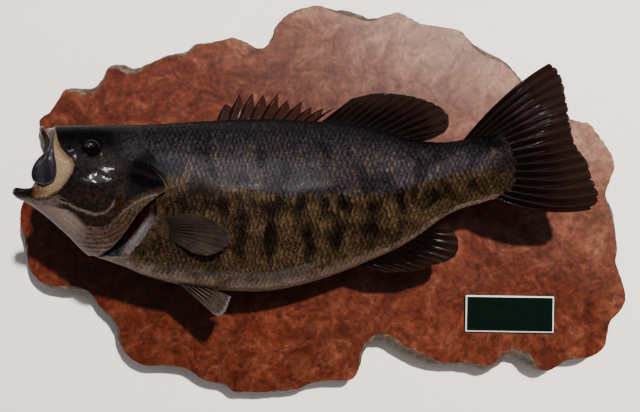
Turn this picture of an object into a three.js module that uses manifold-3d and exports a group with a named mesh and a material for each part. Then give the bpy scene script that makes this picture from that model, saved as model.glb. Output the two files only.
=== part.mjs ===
// Smallmouth bass skin mount on a burl board, life size.
//
// Units are millimetres. X runs from the fish's head (-) to its tail (+), Z is up and Y runs into the
// wall: the board's back lies in the plane Y = 0 and everything else stands in front of it, at -Y.
// The origin is the middle of the board's back.
//
// The fish is one closed surface, a sock of rings that starts deep in the open mouth, turns over the
// lips and runs back to the root of the tail. Thin cuts part it into the pieces that a taxidermist
// would name. Fins are thin fans of rays that stop just short of the skin.

import * as THREE from 'three';
import { mergeVertices } from 'three/addons/utils/BufferGeometryUtils.js';
import Module from 'manifold-3d';

const wasm = await Module();
wasm.setup();

// ---------------------------------------------------------------- driving dimensions

const GAP = 0.3;
const BOARD_THICKNESS = 24;

// The natural edge of the slab, clockwise from above the fish's snout, as x and z at half thickness.
const BOARD_EDGE = [
  [-265, 82], [-255, 90], [-247, 102], [-241, 111], [-230, 112], [-214, 113], [-207, 120],
  [-200, 132], [-190, 135], [-175, 131], [-159, 137], [-141, 144], [-129, 146], [-115, 155],
  [-101, 155], [-84, 160], [-69, 155], [-56, 149], [-48, 154], [-44, 167], [-33, 180], [-15, 188],
  [6, 189], [16, 185], [27, 186], [50, 178], [74, 183], [95, 173], [115, 169], [129, 168],
  [143, 156], [159, 146], [173, 139], [192, 119], [212, 97], [238, 82], [254, 78], [263, 68],
  [275, 49], [278, 37], [271, 10], [277, -4], [281, -42], [280, -54], [286, -70], [288, -92],
  [273, -111], [270, -131], [257, -142], [229, -148], [217, -156], [201, -154], [183, -141],
  [174, -148], [162, -156], [139, -152], [100, -149], [77, -138], [60, -129], [43, -134], [40, -147],
  [31, -163], [18, -166], [-2, -166], [-21, -174], [-46, -176], [-66, -176], [-84, -175],
  [-92, -168], [-110, -165], [-127, -154], [-151, -152], [-169, -150], [-184, -140], [-191, -130],
  [-193, -118], [-200, -106], [-209, -95], [-220, -82], [-248, -80], [-265, -72], [-274, -61],
  [-278, -45], [-283, -18], [-283, -2], [-277, 10], [-266, 30], [-260, 52], [-264, 70],
];
const BOARD_EDGE_STEPS = 128;
const BARK_BEVEL = 3.6;
// Levels of the slab's edge: height above its back, and the inset as a share of the bevel.
const BOARD_LEVELS = [[0, 1.4], [5, 0], [19, 0.2], [BOARD_THICKNESS, 1]];

const PLATE = { x: 177.3, z: -101, width: 82.5, height: 34, thickness: 4, bevel: 1.4, turn: -0.016 };
const HANGER = {
  z: 118, length: 64, width: 14, thickness: 1.6, recess: 2.4, teeth: 9, toothDepth: 2, plainEnd: 8,
};

// The fish in its own middle plane: x along the board, z up, heights above the board's face.
const LIP_X = -220;
const CHIN_REACH = 24;
const TAIL_ROOT_X = 155;
const TAIL_ROOT_BULGE = 10;
const MIDDLE_HEIGHT = [
  [-262, 110], [-217, 92], [-150, 65.5], [-104, 51.5], [-61, 43], [-17, 41.5],
  [26, 44.5], [87, 50], [146, 57.5], [203, 65], [245, 69.5],
];
const BACK_LINE = [
  [-228, 62.5], [-221, 64], [-200, 66], [-144, 69.2], [-104, 73.4], [-61, 76.5], [-18, 75.4],
  [26, 71.8], [57, 65.3], [83, 57.5], [104, 55.4], [121, 56.8], [140, 61.5], [155, 65.5],
];
const BELLY_LINE = [
  [-245, 10.5], [-241, 6], [-232, 1], [-218, -11.5], [-204, -26.5], [-191, -39.5], [-184, -43.5],
  [-180, -44], [-167, -50], [-144, -60.5], [-104, -71], [-61, -74.8], [-35, -73], [-9, -67.5],
  [17, -58.6], [52, -44.4], [70, -35.7], [87, -25], [104, -12], [121, -3], [140, 2], [155, 3.5],
];
const HALF_WIDTH = [
  [-228, 17], [-216, 20.5], [-200, 23.5], [-182, 26.5], [-165, 29.5], [-144, 33], [-120, 37.5],
  [-90, 42], [-61, 43.5], [-18, 42], [26, 36.5], [57, 30], [83, 23.5], [104, 18], [121, 13.8],
  [140, 8.8], [155, 4.4], [165, 2.6],
];
// Where the flank is widest, as a share of the height from belly to back.
const WIDEST_SHARE = [[-228, 0.5], [-182, 0.52], [-144, 0.5], [-61, 0.5], [57, 0.52], [165, 0.5]];
// Roundness of a section: 2 is an ellipse, less is keeled, more is boxy.
const BACK_ROUNDNESS = [[-228, 2.3], [-182, 2.5], [-144, 2.2], [-61, 1.95], [57, 1.9], [165, 2]];
const BELLY_ROUNDNESS = [
  [-228, 2.1], [-200, 1.75], [-175, 1.8], [-144, 2.1], [-61, 2.3], [57, 2.1], [165, 2],
];

// Free edge of the gill cover, as x against the share of the way down from back to belly.
const GILL_EDGE = [
  [0, -163], [0.2, -157], [0.28, -150], [0.39, -138], [0.455, -134.5], [0.5, -141], [0.57, -149.5],
  [0.67, -158], [0.77, -164], [0.9, -173.5], [1, -184],
];
const GILL_SLIT_TOP = 0.28;
const GILL_SLIT_FADE = 0.12;
const GILL_FLARE = 5;
const GILL_COVER_WALL = 2.2;
const GILL_DEPTH = 5;
const GILL_UNDERCUT = 8;
const SHOULDER_GAP = 8;
const GILL_PLATE_DEPTH = 3;
// The cut behind the gill cover follows its edge at this distance.
const BEHIND_EDGE = 0.8;

// The rim of the mouth sags back between the upper lip and the chin.
const LIP_SAG = [
  [0, 0], [0.1, 3], [0.25, 8], [0.4, 10], [0.55, 10], [0.75, 11], [0.87, 8], [0.94, 2], [1, 0],
];
const LIP_WALL = 4.5;
// The hollow of the mouth: its roof, floor and half-width along the head.
const MOUTH_ROOF = [[-220, 57], [-208, 46], [-195, 35], [-180, 26], [-166, 17]];
const MOUTH_FLOOR = [[-220, 11], [-208, 2], [-195, -7], [-180, -11], [-166, -5]];
const MOUTH_HALF_WIDTH = [[-220, 15], [-208, 17], [-195, 18], [-180, 16], [-166, 8]];

// Outlines that part the head, as x and z in the fish's middle plane.
const JAW_OUTLINE = [
  [-256, 30], [-232, 22], [-229.5, 9], [-223, 5.5], [-211, 3.5], [-201, 6.5], [-193, 0.8], [-186, -0.5],
  [-180, 3], [-175.5, 7.5], [-172, 0], [-174, -8], [-180, -13.5], [-190, -15.5], [-200, -13],
  [-210, -9], [-220, -7.5], [-232, -9], [-256, -9],
];
const GILL_COVER_FRONT = [
  [-168, -19], [-169, -12], [-170.5, -2], [-170.5, 12], [-167, 27], [-162, 35],
];
const THROAT_OUTLINE = [
  [-256, -9.5], [-232, -9.5], [-220, -8], [-210, -9.5], [-200, -13.5], [-190, -16], [-180, -14],
  [-173.5, -8.5], [-169.5, -12.5], [-168.5, -19.5], [-150, -24], [-150, -60], [-256, -60],
];
const TRUNK_END_X = 96;

const EYE = { x: -190, z: 46, radius: 7.2, depth: 5.2, sunk: 2.4, slices: 16, stacks: 8 };

// The maxilla: front and rear edge from its shank under the snout to its broad lower end.
const MAXILLA_FRONT = [
  [-222.7, 57.5], [-222, 50], [-222.9, 43.5], [-226, 38.8], [-228.8, 34], [-230.9, 29], [-231, 24],
  [-229.5, 18.5],
];
const MAXILLA_REAR = [
  [-216.6, 60], [-215.3, 52], [-215.8, 45.5], [-215, 40], [-213.8, 34], [-213.8, 27], [-216, 21.8],
  [-222, 17.2],
];
const MAXILLA_THICKNESS = 2.6;
const UPPER_LIP_RADIUS = 3;
const UPPER_LIP_ANGLE = 1.9;
const TONGUE = { x: -200, z: -1, length: 22, height: 5, width: 10, tilt: 0.45 };

// Fins. A root or a tip is x, z and, where the fin leaves the middle plane, how far to the side.
const FIN_ROOT_THICKNESS = 2.6;
const FIN_TIP_THICKNESS = 1;
const SPINE_ROOTS = { first: -89.4, last: -7, z: 74 };
const SPINE_TIPS = [
  [-81.8, 89.6], [-69.4, 98.6], [-58.6, 100.1], [-49, 98.5], [-35.9, 99.9], [-28, 93.8],
  [-14.9, 92.5], [-6.6, 87.2], [3.9, 86.2], [13.1, 85.7],
];
const SPINE_NOTCH_SHARE = 0.62;
const SOFT_DORSAL = {
  rays: 14,
  root: [[0, 73], [34.9, 68.5], [56.6, 63], [82.5, 54]],
  edge: [
    [27.9, 94.3], [47.9, 98.5], [69.6, 97.4], [86.8, 93.7], [100.4, 88.3], [108.9, 81.3],
    [111.9, 74.3], [108.9, 64.8], [98, 58.3],
  ],
};
const ANAL_FIN = {
  rays: 13,
  root: [[27.9, -51], [50, -43], [69.6, -33], [93.6, -17]],
  edge: [
    [57.4, -58.2], [83.6, -56.7], [99.2, -51.3], [112.9, -46.4], [119.3, -38.5], [118.5, -27.1],
    [111, -15.5],
  ],
};
const TAIL_FIN = {
  rays: 17,
  root: [[118, 50], [138, 54], [150, 52], [156, 44], [158, 35], [158, 24], [154, 14], [146, 9]],
  edge: [
    [194, 121.3], [199.5, 118.5], [203.8, 112], [207.4, 100.7], [209.5, 83.8], [211.4, 70.2],
    [213.9, 57.5], [218.8, 47.3], [225.3, 38], [228.5, 26.1], [233.8, 12.6], [234, 4], [228, -3.4],
  ],
  bow: 7,
};
const PECTORAL = {
  rays: 14,
  root: [[-139, -11, 31.5], [-137, -18, 31.5], [-135, -25, 30.5]],
  edge: [
    [-120, -5.5, 44.5], [-106.5, -8, 48.5], [-94, -12.7, 52.1], [-84.3, -20.7, 53.3],
    [-81.5, -25.5, 52.9], [-84.2, -31.9, 51.4], [-91.1, -36.8, 48.3], [-102.1, -40.1, 44.4],
    [-113, -38, 40.6],
  ],
  foldedStandoff: 3.5,
};
const PELVIC = {
  rays: 7,
  root: [[-126, -62, 9], [-117, -64, 8], [-107, -65, 6]],
  edge: [
    [-94.7, -90.6, 20], [-89.6, -93.2, 20], [-84.3, -90.2, 19], [-80.8, -82.9, 17],
    [-78.5, -77.5, 14],
  ],
  foldedDrop: 0.55,
  foldedSide: 0.8,
};

const RING_SEGMENTS = 28;
const HEAD_STEPS = [0, 0.1, 0.24, 0.42, 0.62, 0.82, 1];
const TRUNK_STATIONS = [-96, -62, -28, 5, 38, 68, 94, 118, 138, TAIL_ROOT_X];

// ---------------------------------------------------------------- curves and closed meshes

const { lerp: mix, smoothstep: ramp, clamp } = THREE.MathUtils;

// A smooth curve through [place, value] pairs, level with the mean slope at each of them.
function smooth(pairs) {
  const last = pairs.length - 1;
  const slope = pairs.map((pair, i) => {
    const before = pairs[Math.max(i - 1, 0)];
    const after = pairs[Math.min(i + 1, last)];
    return (after[1] - before[1]) / (after[0] - before[0]);
  });
  return (at) => {
    const x = clamp(at, pairs[0][0], pairs[last][0]);
    let i = 0;
    while (i < last - 1 && x > pairs[i + 1][0]) i += 1;
    const span = pairs[i + 1][0] - pairs[i][0];
    const t = (x - pairs[i][0]) / span;
    const rise = t * t * (3 - 2 * t);
    const leave = t * (1 - t) * (1 - t) * span * slope[i];
    const arrive = t * t * (t - 1) * span * slope[i + 1];
    return pairs[i][1] + (pairs[i + 1][1] - pairs[i][1]) * rise + leave + arrive;
  };
}

// An indexed mesh from vertices and faces, turned so that its faces point out.
function closedMesh(points, faces) {
  let volume = 0;
  for (const [a, b, c] of faces) {
    volume += points[a].dot(new THREE.Vector3().crossVectors(points[b], points[c]));
  }
  const index = faces.flatMap(([a, b, c]) => (volume > 0 ? [a, b, c] : [a, c, b]));
  const geometry = new THREE.BufferGeometry();
  const positions = points.flatMap((p) => p.toArray());
  geometry.setAttribute('position', new THREE.Float32BufferAttribute(positions, 3));
  geometry.setIndex(index);
  return geometry;
}

// Closed rings joined in a row, with a point closing each end.
function loft(rings) {
  const count = rings[0].length;
  const points = rings.flat();
  const faces = [];
  for (let r = 0; r < rings.length - 1; r += 1) {
    for (let i = 0; i < count; i += 1) {
      const j = (i + 1) % count;
      const [a, b, c, d] = [r * count + i, r * count + j, (r + 1) * count + j, (r + 1) * count + i];
      faces.push([a, b, c], [a, c, d]);
    }
  }
  const middle = (ring) => ring.reduce((sum, p) => sum.add(p), new THREE.Vector3()).divideScalar(count);
  const [start, end] = [points.length, points.length + 1];
  points.push(middle(rings[0]), middle(rings[rings.length - 1]));
  const lastRing = (rings.length - 1) * count;
  for (let i = 0; i < count; i += 1) {
    const j = (i + 1) % count;
    faces.push([start, j, i], [end, lastRing + i, lastRing + j]);
  }
  return closedMesh(points, faces);
}

// Outlines of equal length stacked in a row, the first and the last of them filled in flat.
function stack(outlines, flat) {
  const count = outlines[0].length;
  const points = outlines.flat();
  const faces = [];
  for (let r = 0; r < outlines.length - 1; r += 1) {
    for (let i = 0; i < count; i += 1) {
      const j = (i + 1) % count;
      const [a, b, c, d] = [r * count + i, r * count + j, (r + 1) * count + j, (r + 1) * count + i];
      faces.push([a, b, c], [a, c, d]);
    }
  }
  const lastOutline = (outlines.length - 1) * count;
  const turned = THREE.ShapeUtils.isClockWise(flat);
  for (const [a, b, c] of THREE.ShapeUtils.triangulateShape(flat, [])) {
    const [first, second] = turned ? [b, c] : [c, b];
    faces.push([a, first, second], [lastOutline + a, lastOutline + second, lastOutline + first]);
  }
  return closedMesh(points, faces);
}

// A thin closed sheet between two grids of the same size, near[i][j] and far[i][j].
function sheet(near, far) {
  const [columns, rows] = [near.length, near[0].length];
  const points = [...near.flat(), ...far.flat()];
  const at = (side, i, j) => side * columns * rows + i * rows + j;
  const faces = [];
  const quad = (a, b, c, d) => faces.push([a, b, c], [a, c, d]);
  for (let i = 0; i < columns - 1; i += 1) {
    for (let j = 0; j < rows - 1; j += 1) {
      quad(at(0, i, j), at(0, i + 1, j), at(0, i + 1, j + 1), at(0, i, j + 1));
      quad(at(1, i, j), at(1, i, j + 1), at(1, i + 1, j + 1), at(1, i + 1, j));
    }
    quad(at(0, i + 1, 0), at(0, i, 0), at(1, i, 0), at(1, i + 1, 0));
    quad(at(0, i, rows - 1), at(0, i + 1, rows - 1), at(1, i + 1, rows - 1), at(1, i, rows - 1));
  }
  for (let j = 0; j < rows - 1; j += 1) {
    quad(at(0, 0, j), at(0, 0, j + 1), at(1, 0, j + 1), at(1, 0, j));
    quad(at(0, columns - 1, j + 1), at(0, columns - 1, j), at(1, columns - 1, j), at(1, columns - 1, j + 1));
  }
  return closedMesh(points, faces);
}

function solidOf(geometry) {
  const bare = geometry.clone();
  bare.deleteAttribute('normal');
  bare.deleteAttribute('uv');
  const merged = mergeVertices(bare, 1e-4);
  return new wasm.Manifold(new wasm.Mesh({
    numProp: 3,
    vertProperties: new Float32Array(merged.attributes.position.array),
    triVerts: new Uint32Array(merged.index.array),
  }));
}

// The largest body of a cut solid.
function largest(solid) {
  return solid.decompose().reduce((best, body) => (body.volume() > best.volume() ? body : best));
}

function geometryOf(solid) {
  const { vertProperties, triVerts } = largest(solid).getMesh();
  const geometry = new THREE.BufferGeometry();
  geometry.setAttribute('position', new THREE.BufferAttribute(new Float32Array(vertProperties), 3));
  geometry.setIndex(Array.from(triVerts));
  return geometry;
}

// ---------------------------------------------------------------- the fish's surface

const middleHeight = smooth(MIDDLE_HEIGHT);
const backLine = smooth(BACK_LINE);
const bellyLine = smooth(BELLY_LINE);
const halfWidth = smooth(HALF_WIDTH);
const widestShare = smooth(WIDEST_SHARE);
const backRoundness = smooth(BACK_ROUNDNESS);
const bellyRoundness = smooth(BELLY_ROUNDNESS);
const mouthRoof = smooth(MOUTH_ROOF);
const mouthFloor = smooth(MOUTH_FLOOR);
const mouthHalfWidth = smooth(MOUTH_HALF_WIDTH);
const gillEdge = smooth(GILL_EDGE);
const lipSag = smooth(LIP_SAG);

// The chin reaches further forward than the upper lip, so sections lean forward at the mouth.
const chinLean = (x) => CHIN_REACH * (1 - ramp(x, LIP_X, -165));

// A point at x and z, `side` millimetres towards the room (+) or the board (-) of the middle plane.
function place(x, z, side) {
  const slope = middleHeight(x + 0.5) - middleHeight(x - 0.5);
  const length = Math.hypot(1, slope);
  const y = -(BOARD_THICKNESS + middleHeight(x));
  return new THREE.Vector3(x - (slope / length) * side, y - side / length, z);
}

// A section's point: station x, angle round from the back (0) to the belly (PI), `swell` outwards.
function section(x, angle, swell) {
  const top = backLine(x);
  const bottom = bellyLine(x - chinLean(x));
  const widest = mix(bottom, top, widestShare(x));
  const upper = Math.cos(angle) > 0;
  const power = 2 / (upper ? backRoundness(x) : bellyRoundness(x));
  const reach = (upper ? top - widest : widest - bottom) + swell;
  const z = widest + Math.sign(Math.cos(angle)) * reach * Math.abs(Math.cos(angle)) ** power;
  const side = Math.sign(Math.sin(angle)) * (halfWidth(x) + swell) * Math.abs(Math.sin(angle)) ** power;
  const down = clamp((top - z) / (top - bottom), 0, 1);
  return { x: x - chinLean(x) * down, z, side };
}

// The flank's half-width at a place on the side of the fish.
function flank(x, z) {
  let station = x;
  for (let i = 0; i < 6; i += 1) {
    const bottom = bellyLine(station - chinLean(station));
    station = x + (chinLean(station) * (backLine(station) - z)) / (backLine(station) - bottom);
  }
  const top = backLine(station);
  const bottom = bellyLine(station - chinLean(station));
  const widest = mix(bottom, top, widestShare(station));
  const share = z > widest ? (z - widest) / (top - widest) : (widest - z) / (widest - bottom);
  const round = z > widest ? backRoundness(station) : bellyRoundness(station);
  return halfWidth(station) * Math.max(1 - share ** round, 0) ** (1 / round);
}

// How far down a ring its point is, and how much of the gill slit is there.
const downAt = (angle) => (1 - Math.cos(angle)) / 2;
function slit(down) {
  const open = ramp(down, GILL_SLIT_TOP, GILL_SLIT_TOP + GILL_SLIT_FADE);
  return open * (1 - 0.75 * ramp(down, 0.9, 1));
}

const shoulderGap = (down) => SHOULDER_GAP * slit(down) * ramp(down, 0.46, 0.6);

// One ring of the sock. `stationAt(down)` bends it, `swellAt(down)` moves it out or in.
function ring(stationAt, swellAt) {
  return Array.from({ length: RING_SEGMENTS }, (_, i) => {
    const angle = ((i + 0.5) / RING_SEGMENTS) * 2 * Math.PI;
    const down = downAt(angle);
    const p = section(stationAt(down), angle, swellAt(down));
    return place(p.x, p.z, p.side);
  });
}

// Outside rings from the lips to the edge of the gill covers.
function headRings(swell, flare) {
  return HEAD_STEPS.map((step) => ring(
    (down) => mix(LIP_X + lipSag(down) - swell, gillEdge(down), step),
    (down) => swell + flare * slit(down) * ramp(step, 0.5, 1),
  ));
}

// The thin rim of the gill cover, the hollow under it and the edge of the shoulder behind it.
function gillRings(swell) {
  const rim = GILL_FLARE - GILL_COVER_WALL;
  return [
    ring(
      (down) => gillEdge(down) + 0.3 - 0.6 * slit(down),
      (down) => swell + (rim - 2 * swell) * slit(down),
    ),
    ring(
      (down) => gillEdge(down) + 0.6 - (GILL_UNDERCUT + 0.6) * slit(down),
      (down) => swell + (rim - 1.2 - 2 * swell) * slit(down),
    ),
    ring(
      (down) => gillEdge(down) + 0.9 - (GILL_UNDERCUT + 0.2) * slit(down),
      (down) => swell - GILL_DEPTH * slit(down),
    ),
    ring(
      (down) => gillEdge(down) + 1.2 + shoulderGap(down),
      (down) => swell - GILL_DEPTH * slit(down),
    ),
    ring((down) => gillEdge(down) + 2.4 + shoulderGap(down), () => swell),
  ];
}

// Rings from the shoulder to the root of the tail, which bulges back between its corners.
function trunkRings(swell) {
  const shoulder = [0.3, 0.65].map((step) => ring(
    (down) => mix(gillEdge(down) + 9, TRUNK_STATIONS[0], step),
    () => swell,
  ));
  const bulge = (x) => TAIL_ROOT_BULGE * ramp(x, 100, TAIL_ROOT_X);
  const trunk = TRUNK_STATIONS.map((x) => ring(
    (down) => x + bulge(x) * Math.sin(Math.PI * down) + swell * ramp(x, 120, TAIL_ROOT_X),
    () => swell,
  ));
  return [...shoulder, ...trunk];
}

// Inside rings from the throat out to the lips.
function mouthRings(swell) {
  const [front, back] = [MOUTH_ROOF[0][0], MOUTH_ROOF[MOUTH_ROOF.length - 1][0]];
  return [1, 0.7, 0.35, 0.05].map((step) => Array.from({ length: RING_SEGMENTS }, (_, i) => {
    const angle = ((i + 0.5) / RING_SEGMENTS) * 2 * Math.PI;
    const lip = section(LIP_X + lipSag(downAt(angle)), angle, -LIP_WALL - swell);
    const x = mix(front, back, step);
    const [roof, floor] = [mouthRoof(x) - swell, mouthFloor(x) + swell];
    const z = (roof + floor) / 2 + ((roof - floor) / 2) * Math.cos(angle);
    const side = (mouthHalfWidth(x) - swell) * Math.sin(angle);
    const inside = ramp(step, 0, 0.3);
    return place(mix(lip.x, x, Math.max(inside, step)), mix(lip.z, z, inside), mix(lip.side, side, inside));
  }));
}

const sock = (swell) => solidOf(loft([
  ...mouthRings(swell), ...headRings(swell, GILL_FLARE), ...gillRings(swell), ...trunkRings(swell),
]));

// The room in front of the board, which trims the far flank flat where the fish lies against it.
const inFront = solidOf(new THREE.BoxGeometry(700, 400, 500).translate(0, -200 - BOARD_THICKNESS - GAP, 0));

// ---------------------------------------------------------------- parting the body

function offsetOutline(outline, grow) {
  const shape = outline.map(([x, z]) => new THREE.Vector2(x, z));
  const outward = THREE.ShapeUtils.isClockWise(shape) ? 1 : -1;
  return shape.map((p, i) => {
    const before = shape[(i + shape.length - 1) % shape.length];
    const after = shape[(i + 1) % shape.length];
    const along = after.clone().sub(before).normalize();
    return new THREE.Vector2(p.x - along.y * grow * outward, p.y + along.x * grow * outward);
  });
}

// A block with an outline of the middle plane, from one side distance to another.
function block(outline, grow, from, to) {
  const flat = offsetOutline(outline, grow);
  return solidOf(stack([from, to].map((side) => flat.map((p) => place(p.x, p.y, side))), flat));
}

// The gill cover's edge in the middle plane, moved back along x by `shift`.
function gillEdgePoints(from, to, count, shift) {
  return Array.from({ length: count }, (_, i) => {
    const down = mix(from, to, i / (count - 1));
    const angle = Math.acos(1 - 2 * down);
    const p = section(gillEdge(down) + shift, angle, 0);
    return [p.x, p.z];
  });
}

// Everything behind the gill cover's edge, up to xEnd.
function behindGills(shift, xEnd) {
  const edge = gillEdgePoints(0, 1, 15, BEHIND_EDGE + shift);
  return [[edge[0][0], BEYOND], ...edge, [edge[14][0], -BEYOND], [xEnd, -BEYOND], [xEnd, BEYOND]];
}

const HALF_GAP = GAP / 2;
// Further to the side, up or down than any of the fish.
const ACROSS = 90;
const BEYOND = 110;
const wholeFish = sock(0).intersect(inFront);
const clearOfFish = sock(GAP);
const core = (swell) => solidOf(loft([...headRings(swell, 0), ...trunkRings(swell)]));

let headPart = wholeFish;

function gillCover(side) {
  const [from, to] = side > 0 ? [6, ACROSS] : [-ACROSS, -6];
  const outline = [...GILL_COVER_FRONT, ...gillEdgePoints(0.23, 0.77, 12, BEHIND_EDGE)];
  const inner = block(outline, -HALF_GAP, from, to).subtract(core(-GILL_PLATE_DEPTH + HALF_GAP));
  const outer = block(outline, HALF_GAP, from, to).subtract(core(-GILL_PLATE_DEPTH - HALF_GAP));
  const cover = largest(headPart.intersect(inner));
  headPart = headPart.subtract(outer);
  return cover;
}

const gillCoverLeft = gillCover(1);
const gillCoverRight = gillCover(-1);

const tailEnd = block(
  [[TRUNK_END_X, BEYOND], [TRUNK_END_X, -BEYOND], [190, -BEYOND], [190, BEYOND]], -HALF_GAP, -ACROSS, ACROSS,
);
const tailStem = headPart.intersect(tailEnd);
const trunk = headPart.intersect(block(behindGills(HALF_GAP, TRUNK_END_X - HALF_GAP), 0, -ACROSS, ACROSS));
headPart = headPart.subtract(block(behindGills(-HALF_GAP, 200), 0, -ACROSS, ACROSS));

const lowerJaw = headPart.intersect(block(JAW_OUTLINE, -HALF_GAP, -ACROSS, ACROSS));
headPart = headPart.subtract(block(JAW_OUTLINE, HALF_GAP, -ACROSS, ACROSS));
const throat = headPart.intersect(block(THROAT_OUTLINE, 0, -ACROSS, ACROSS));
headPart = headPart.subtract(block(THROAT_OUTLINE, GAP, -ACROSS, ACROSS));

// ---------------------------------------------------------------- eyes, lips and tongue

function eyeball(side, grow) {
  const ball = new THREE.SphereGeometry(1, EYE.slices, EYE.stacks);
  ball.rotateX(Math.PI / 2);
  ball.scale(EYE.radius + grow, EYE.depth + grow, EYE.radius + grow);
  const out = flank(EYE.x, EYE.z) - EYE.sunk;
  const centre = place(EYE.x, EYE.z, side * out);
  const outward = place(EYE.x, EYE.z, side * (out + 1)).sub(centre);
  const turn = new THREE.Quaternion().setFromUnitVectors(new THREE.Vector3(0, -1, 0), outward.normalize());
  ball.applyQuaternion(turn);
  ball.translate(centre.x, centre.y, centre.z);
  return solidOf(ball);
}

const head = headPart.subtract(eyeball(1, GAP)).subtract(eyeball(-1, GAP));

// The upper lip: a bar round the top and the sides of the mouth.
function upperLip(grow) {
  const route = Array.from({ length: 15 }, (_, i) => {
    const angle = mix(-UPPER_LIP_ANGLE, UPPER_LIP_ANGLE, i / 14);
    const p = section(LIP_X + lipSag(downAt(angle)) - 2, angle, 0.8 - UPPER_LIP_RADIUS);
    return place(p.x, p.z, p.side);
  });
  const round = new THREE.Shape().absarc(0, 0, UPPER_LIP_RADIUS + grow, 0, 2 * Math.PI);
  const bar = new THREE.ExtrudeGeometry(round, {
    steps: 12, curveSegments: 4, extrudePath: new THREE.CatmullRomCurve3(route),
  });
  return solidOf(bar);
}

// A maxilla: a thin domed blade over the corner of the mouth.
function maxilla(side) {
  const rows = 4;
  const grid = (lift) => MAXILLA_FRONT.map((front, i) => Array.from({ length: rows }, (_, j) => {
    const x = mix(front[0], MAXILLA_REAR[i][0], j / (rows - 1));
    const z = mix(front[1], MAXILLA_REAR[i][1], j / (rows - 1));
    const dome = Math.sin((Math.PI * j) / (rows - 1));
    return place(x, z, side * (flank(x, z) + lift * (0.6 + 0.4 * dome)));
  }));
  return solidOf(sheet(grid(MAXILLA_THICKNESS), grid(-0.9)));
}

const besideLip = clearOfFish.add(upperLip(GAP));

function tongue() {
  const ball = new THREE.SphereGeometry(1, 14, 8);
  ball.scale(TONGUE.length, TONGUE.width, TONGUE.height);
  ball.rotateY(TONGUE.tilt);
  const centre = place(TONGUE.x, TONGUE.z, 0);
  const ahead = place(TONGUE.x - 1, TONGUE.z, 0).sub(centre);
  ball.rotateZ(Math.atan2(-ahead.y, -ahead.x));
  ball.translate(centre.x, centre.y, centre.z);
  return solidOf(ball).subtract(clearOfFish);
}

// ---------------------------------------------------------------- fins

// A thin fan. Each column is a pair of [x, z, side] ends, root and tip; `bow` bends the outer rays.
function fan(columns, rows = 2, bow = 0) {
  const last = columns.length - 1;
  const grid = (face) => columns.map(([root, tip], i) => Array.from({ length: rows + 1 }, (_, j) => {
    const out = j / rows;
    const bend = bow * mix(1, -1, i / last) * 4 * out * (1 - out);
    const half = mix(FIN_ROOT_THICKNESS, FIN_TIP_THICKNESS, out ** 0.7) / 2;
    const side = mix(root[2] ?? 0, tip[2] ?? 0, out) + face * half;
    return place(mix(root[0], tip[0], out), mix(root[1], tip[1], out) + bend, side);
  }));
  return solidOf(sheet(grid(1), grid(-1)));
}

// The columns of a soft-rayed fin, spread evenly along its root and its free edge.
function softRays({ rays, root, edge }) {
  const curve = (points) => new THREE.CatmullRomCurve3(
    points.map(([x, z, side = 0]) => new THREE.Vector3(x, z, side)),
  );
  const [rootCurve, edgeCurve] = [curve(root), curve(edge)];
  return Array.from({ length: rays }, (_, i) => [
    rootCurve.getPointAt(i / (rays - 1)).toArray(),
    edgeCurve.getPointAt(i / (rays - 1)).toArray(),
  ]);
}

// Spines with the skin between them cut back to a notch behind each tip.
function spinyColumns() {
  const count = SPINE_TIPS.length;
  return SPINE_TIPS.flatMap((tip, i) => {
    const rootX = mix(SPINE_ROOTS.first, SPINE_ROOTS.last, i / (count - 1));
    const spine = [[rootX, SPINE_ROOTS.z], tip];
    if (i === count - 1) return [spine];
    const nextRootX = mix(SPINE_ROOTS.first, SPINE_ROOTS.last, (i + 1) / (count - 1));
    const next = SPINE_TIPS[i + 1];
    const notch = [
      mix(nextRootX, next[0], SPINE_NOTCH_SHARE),
      mix(SPINE_ROOTS.z, next[1], SPINE_NOTCH_SHARE) + 1,
    ];
    return [spine, [[mix(rootX, nextRootX, 0.75), SPINE_ROOTS.z], notch]];
  });
}

// The far pectoral and pelvic fins lie folded closer to the body than the near ones.
const foldedPectoral = {
  ...PECTORAL,
  root: PECTORAL.root.map(([x, z, side]) => [x, z, -side]),
  edge: PECTORAL.edge.map(([x, z]) => [x, z, -(flank(x, z) + PECTORAL.foldedStandoff)]),
};
const foldedPelvic = {
  ...PELVIC,
  root: PELVIC.root.map(([x, z, side]) => [x, z, -side]),
  edge: PELVIC.edge.map(([x, z, side]) => [
    x, mix(PELVIC.root[2][1], z, PELVIC.foldedDrop) - 8, -side * PELVIC.foldedSide,
  ]),
};
const trim = (fin) => fin.subtract(clearOfFish);

// ---------------------------------------------------------------- board, plate and hanger

function boardOutline(inset) {
  const curve = new THREE.CatmullRomCurve3(
    BOARD_EDGE.map(([x, z]) => new THREE.Vector3(x, z, 0)), true, 'centripetal',
  );
  const edge = curve.getSpacedPoints(BOARD_EDGE_STEPS).slice(0, -1);
  return edge.map((p, i) => {
    const before = edge[(i + edge.length - 1) % edge.length];
    const after = edge[(i + 1) % edge.length];
    const along = new THREE.Vector2(after.x - before.x, after.y - before.y).normalize();
    const turn = (i / edge.length) * 2 * Math.PI;
    const uneven = 1 + 0.3 * Math.sin(9 * turn + 1) + 0.25 * Math.sin(23 * turn);
    return new THREE.Vector2(p.x + along.y * inset * uneven, p.y - along.x * inset * uneven);
  });
}

function board() {
  const outlines = BOARD_LEVELS.map(([height, share]) => (
    boardOutline(BARK_BEVEL * share).map((p) => new THREE.Vector3(p.x, -height, p.y))
  ));
  const slab = solidOf(stack(outlines, boardOutline(0)));
  const { length, width, recess, z } = HANGER;
  const pocket = new THREE.BoxGeometry(length + 2 * GAP, 2 * recess, width + 2 * GAP).translate(0, 0, z);
  return slab.subtract(solidOf(pocket));
}

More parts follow.
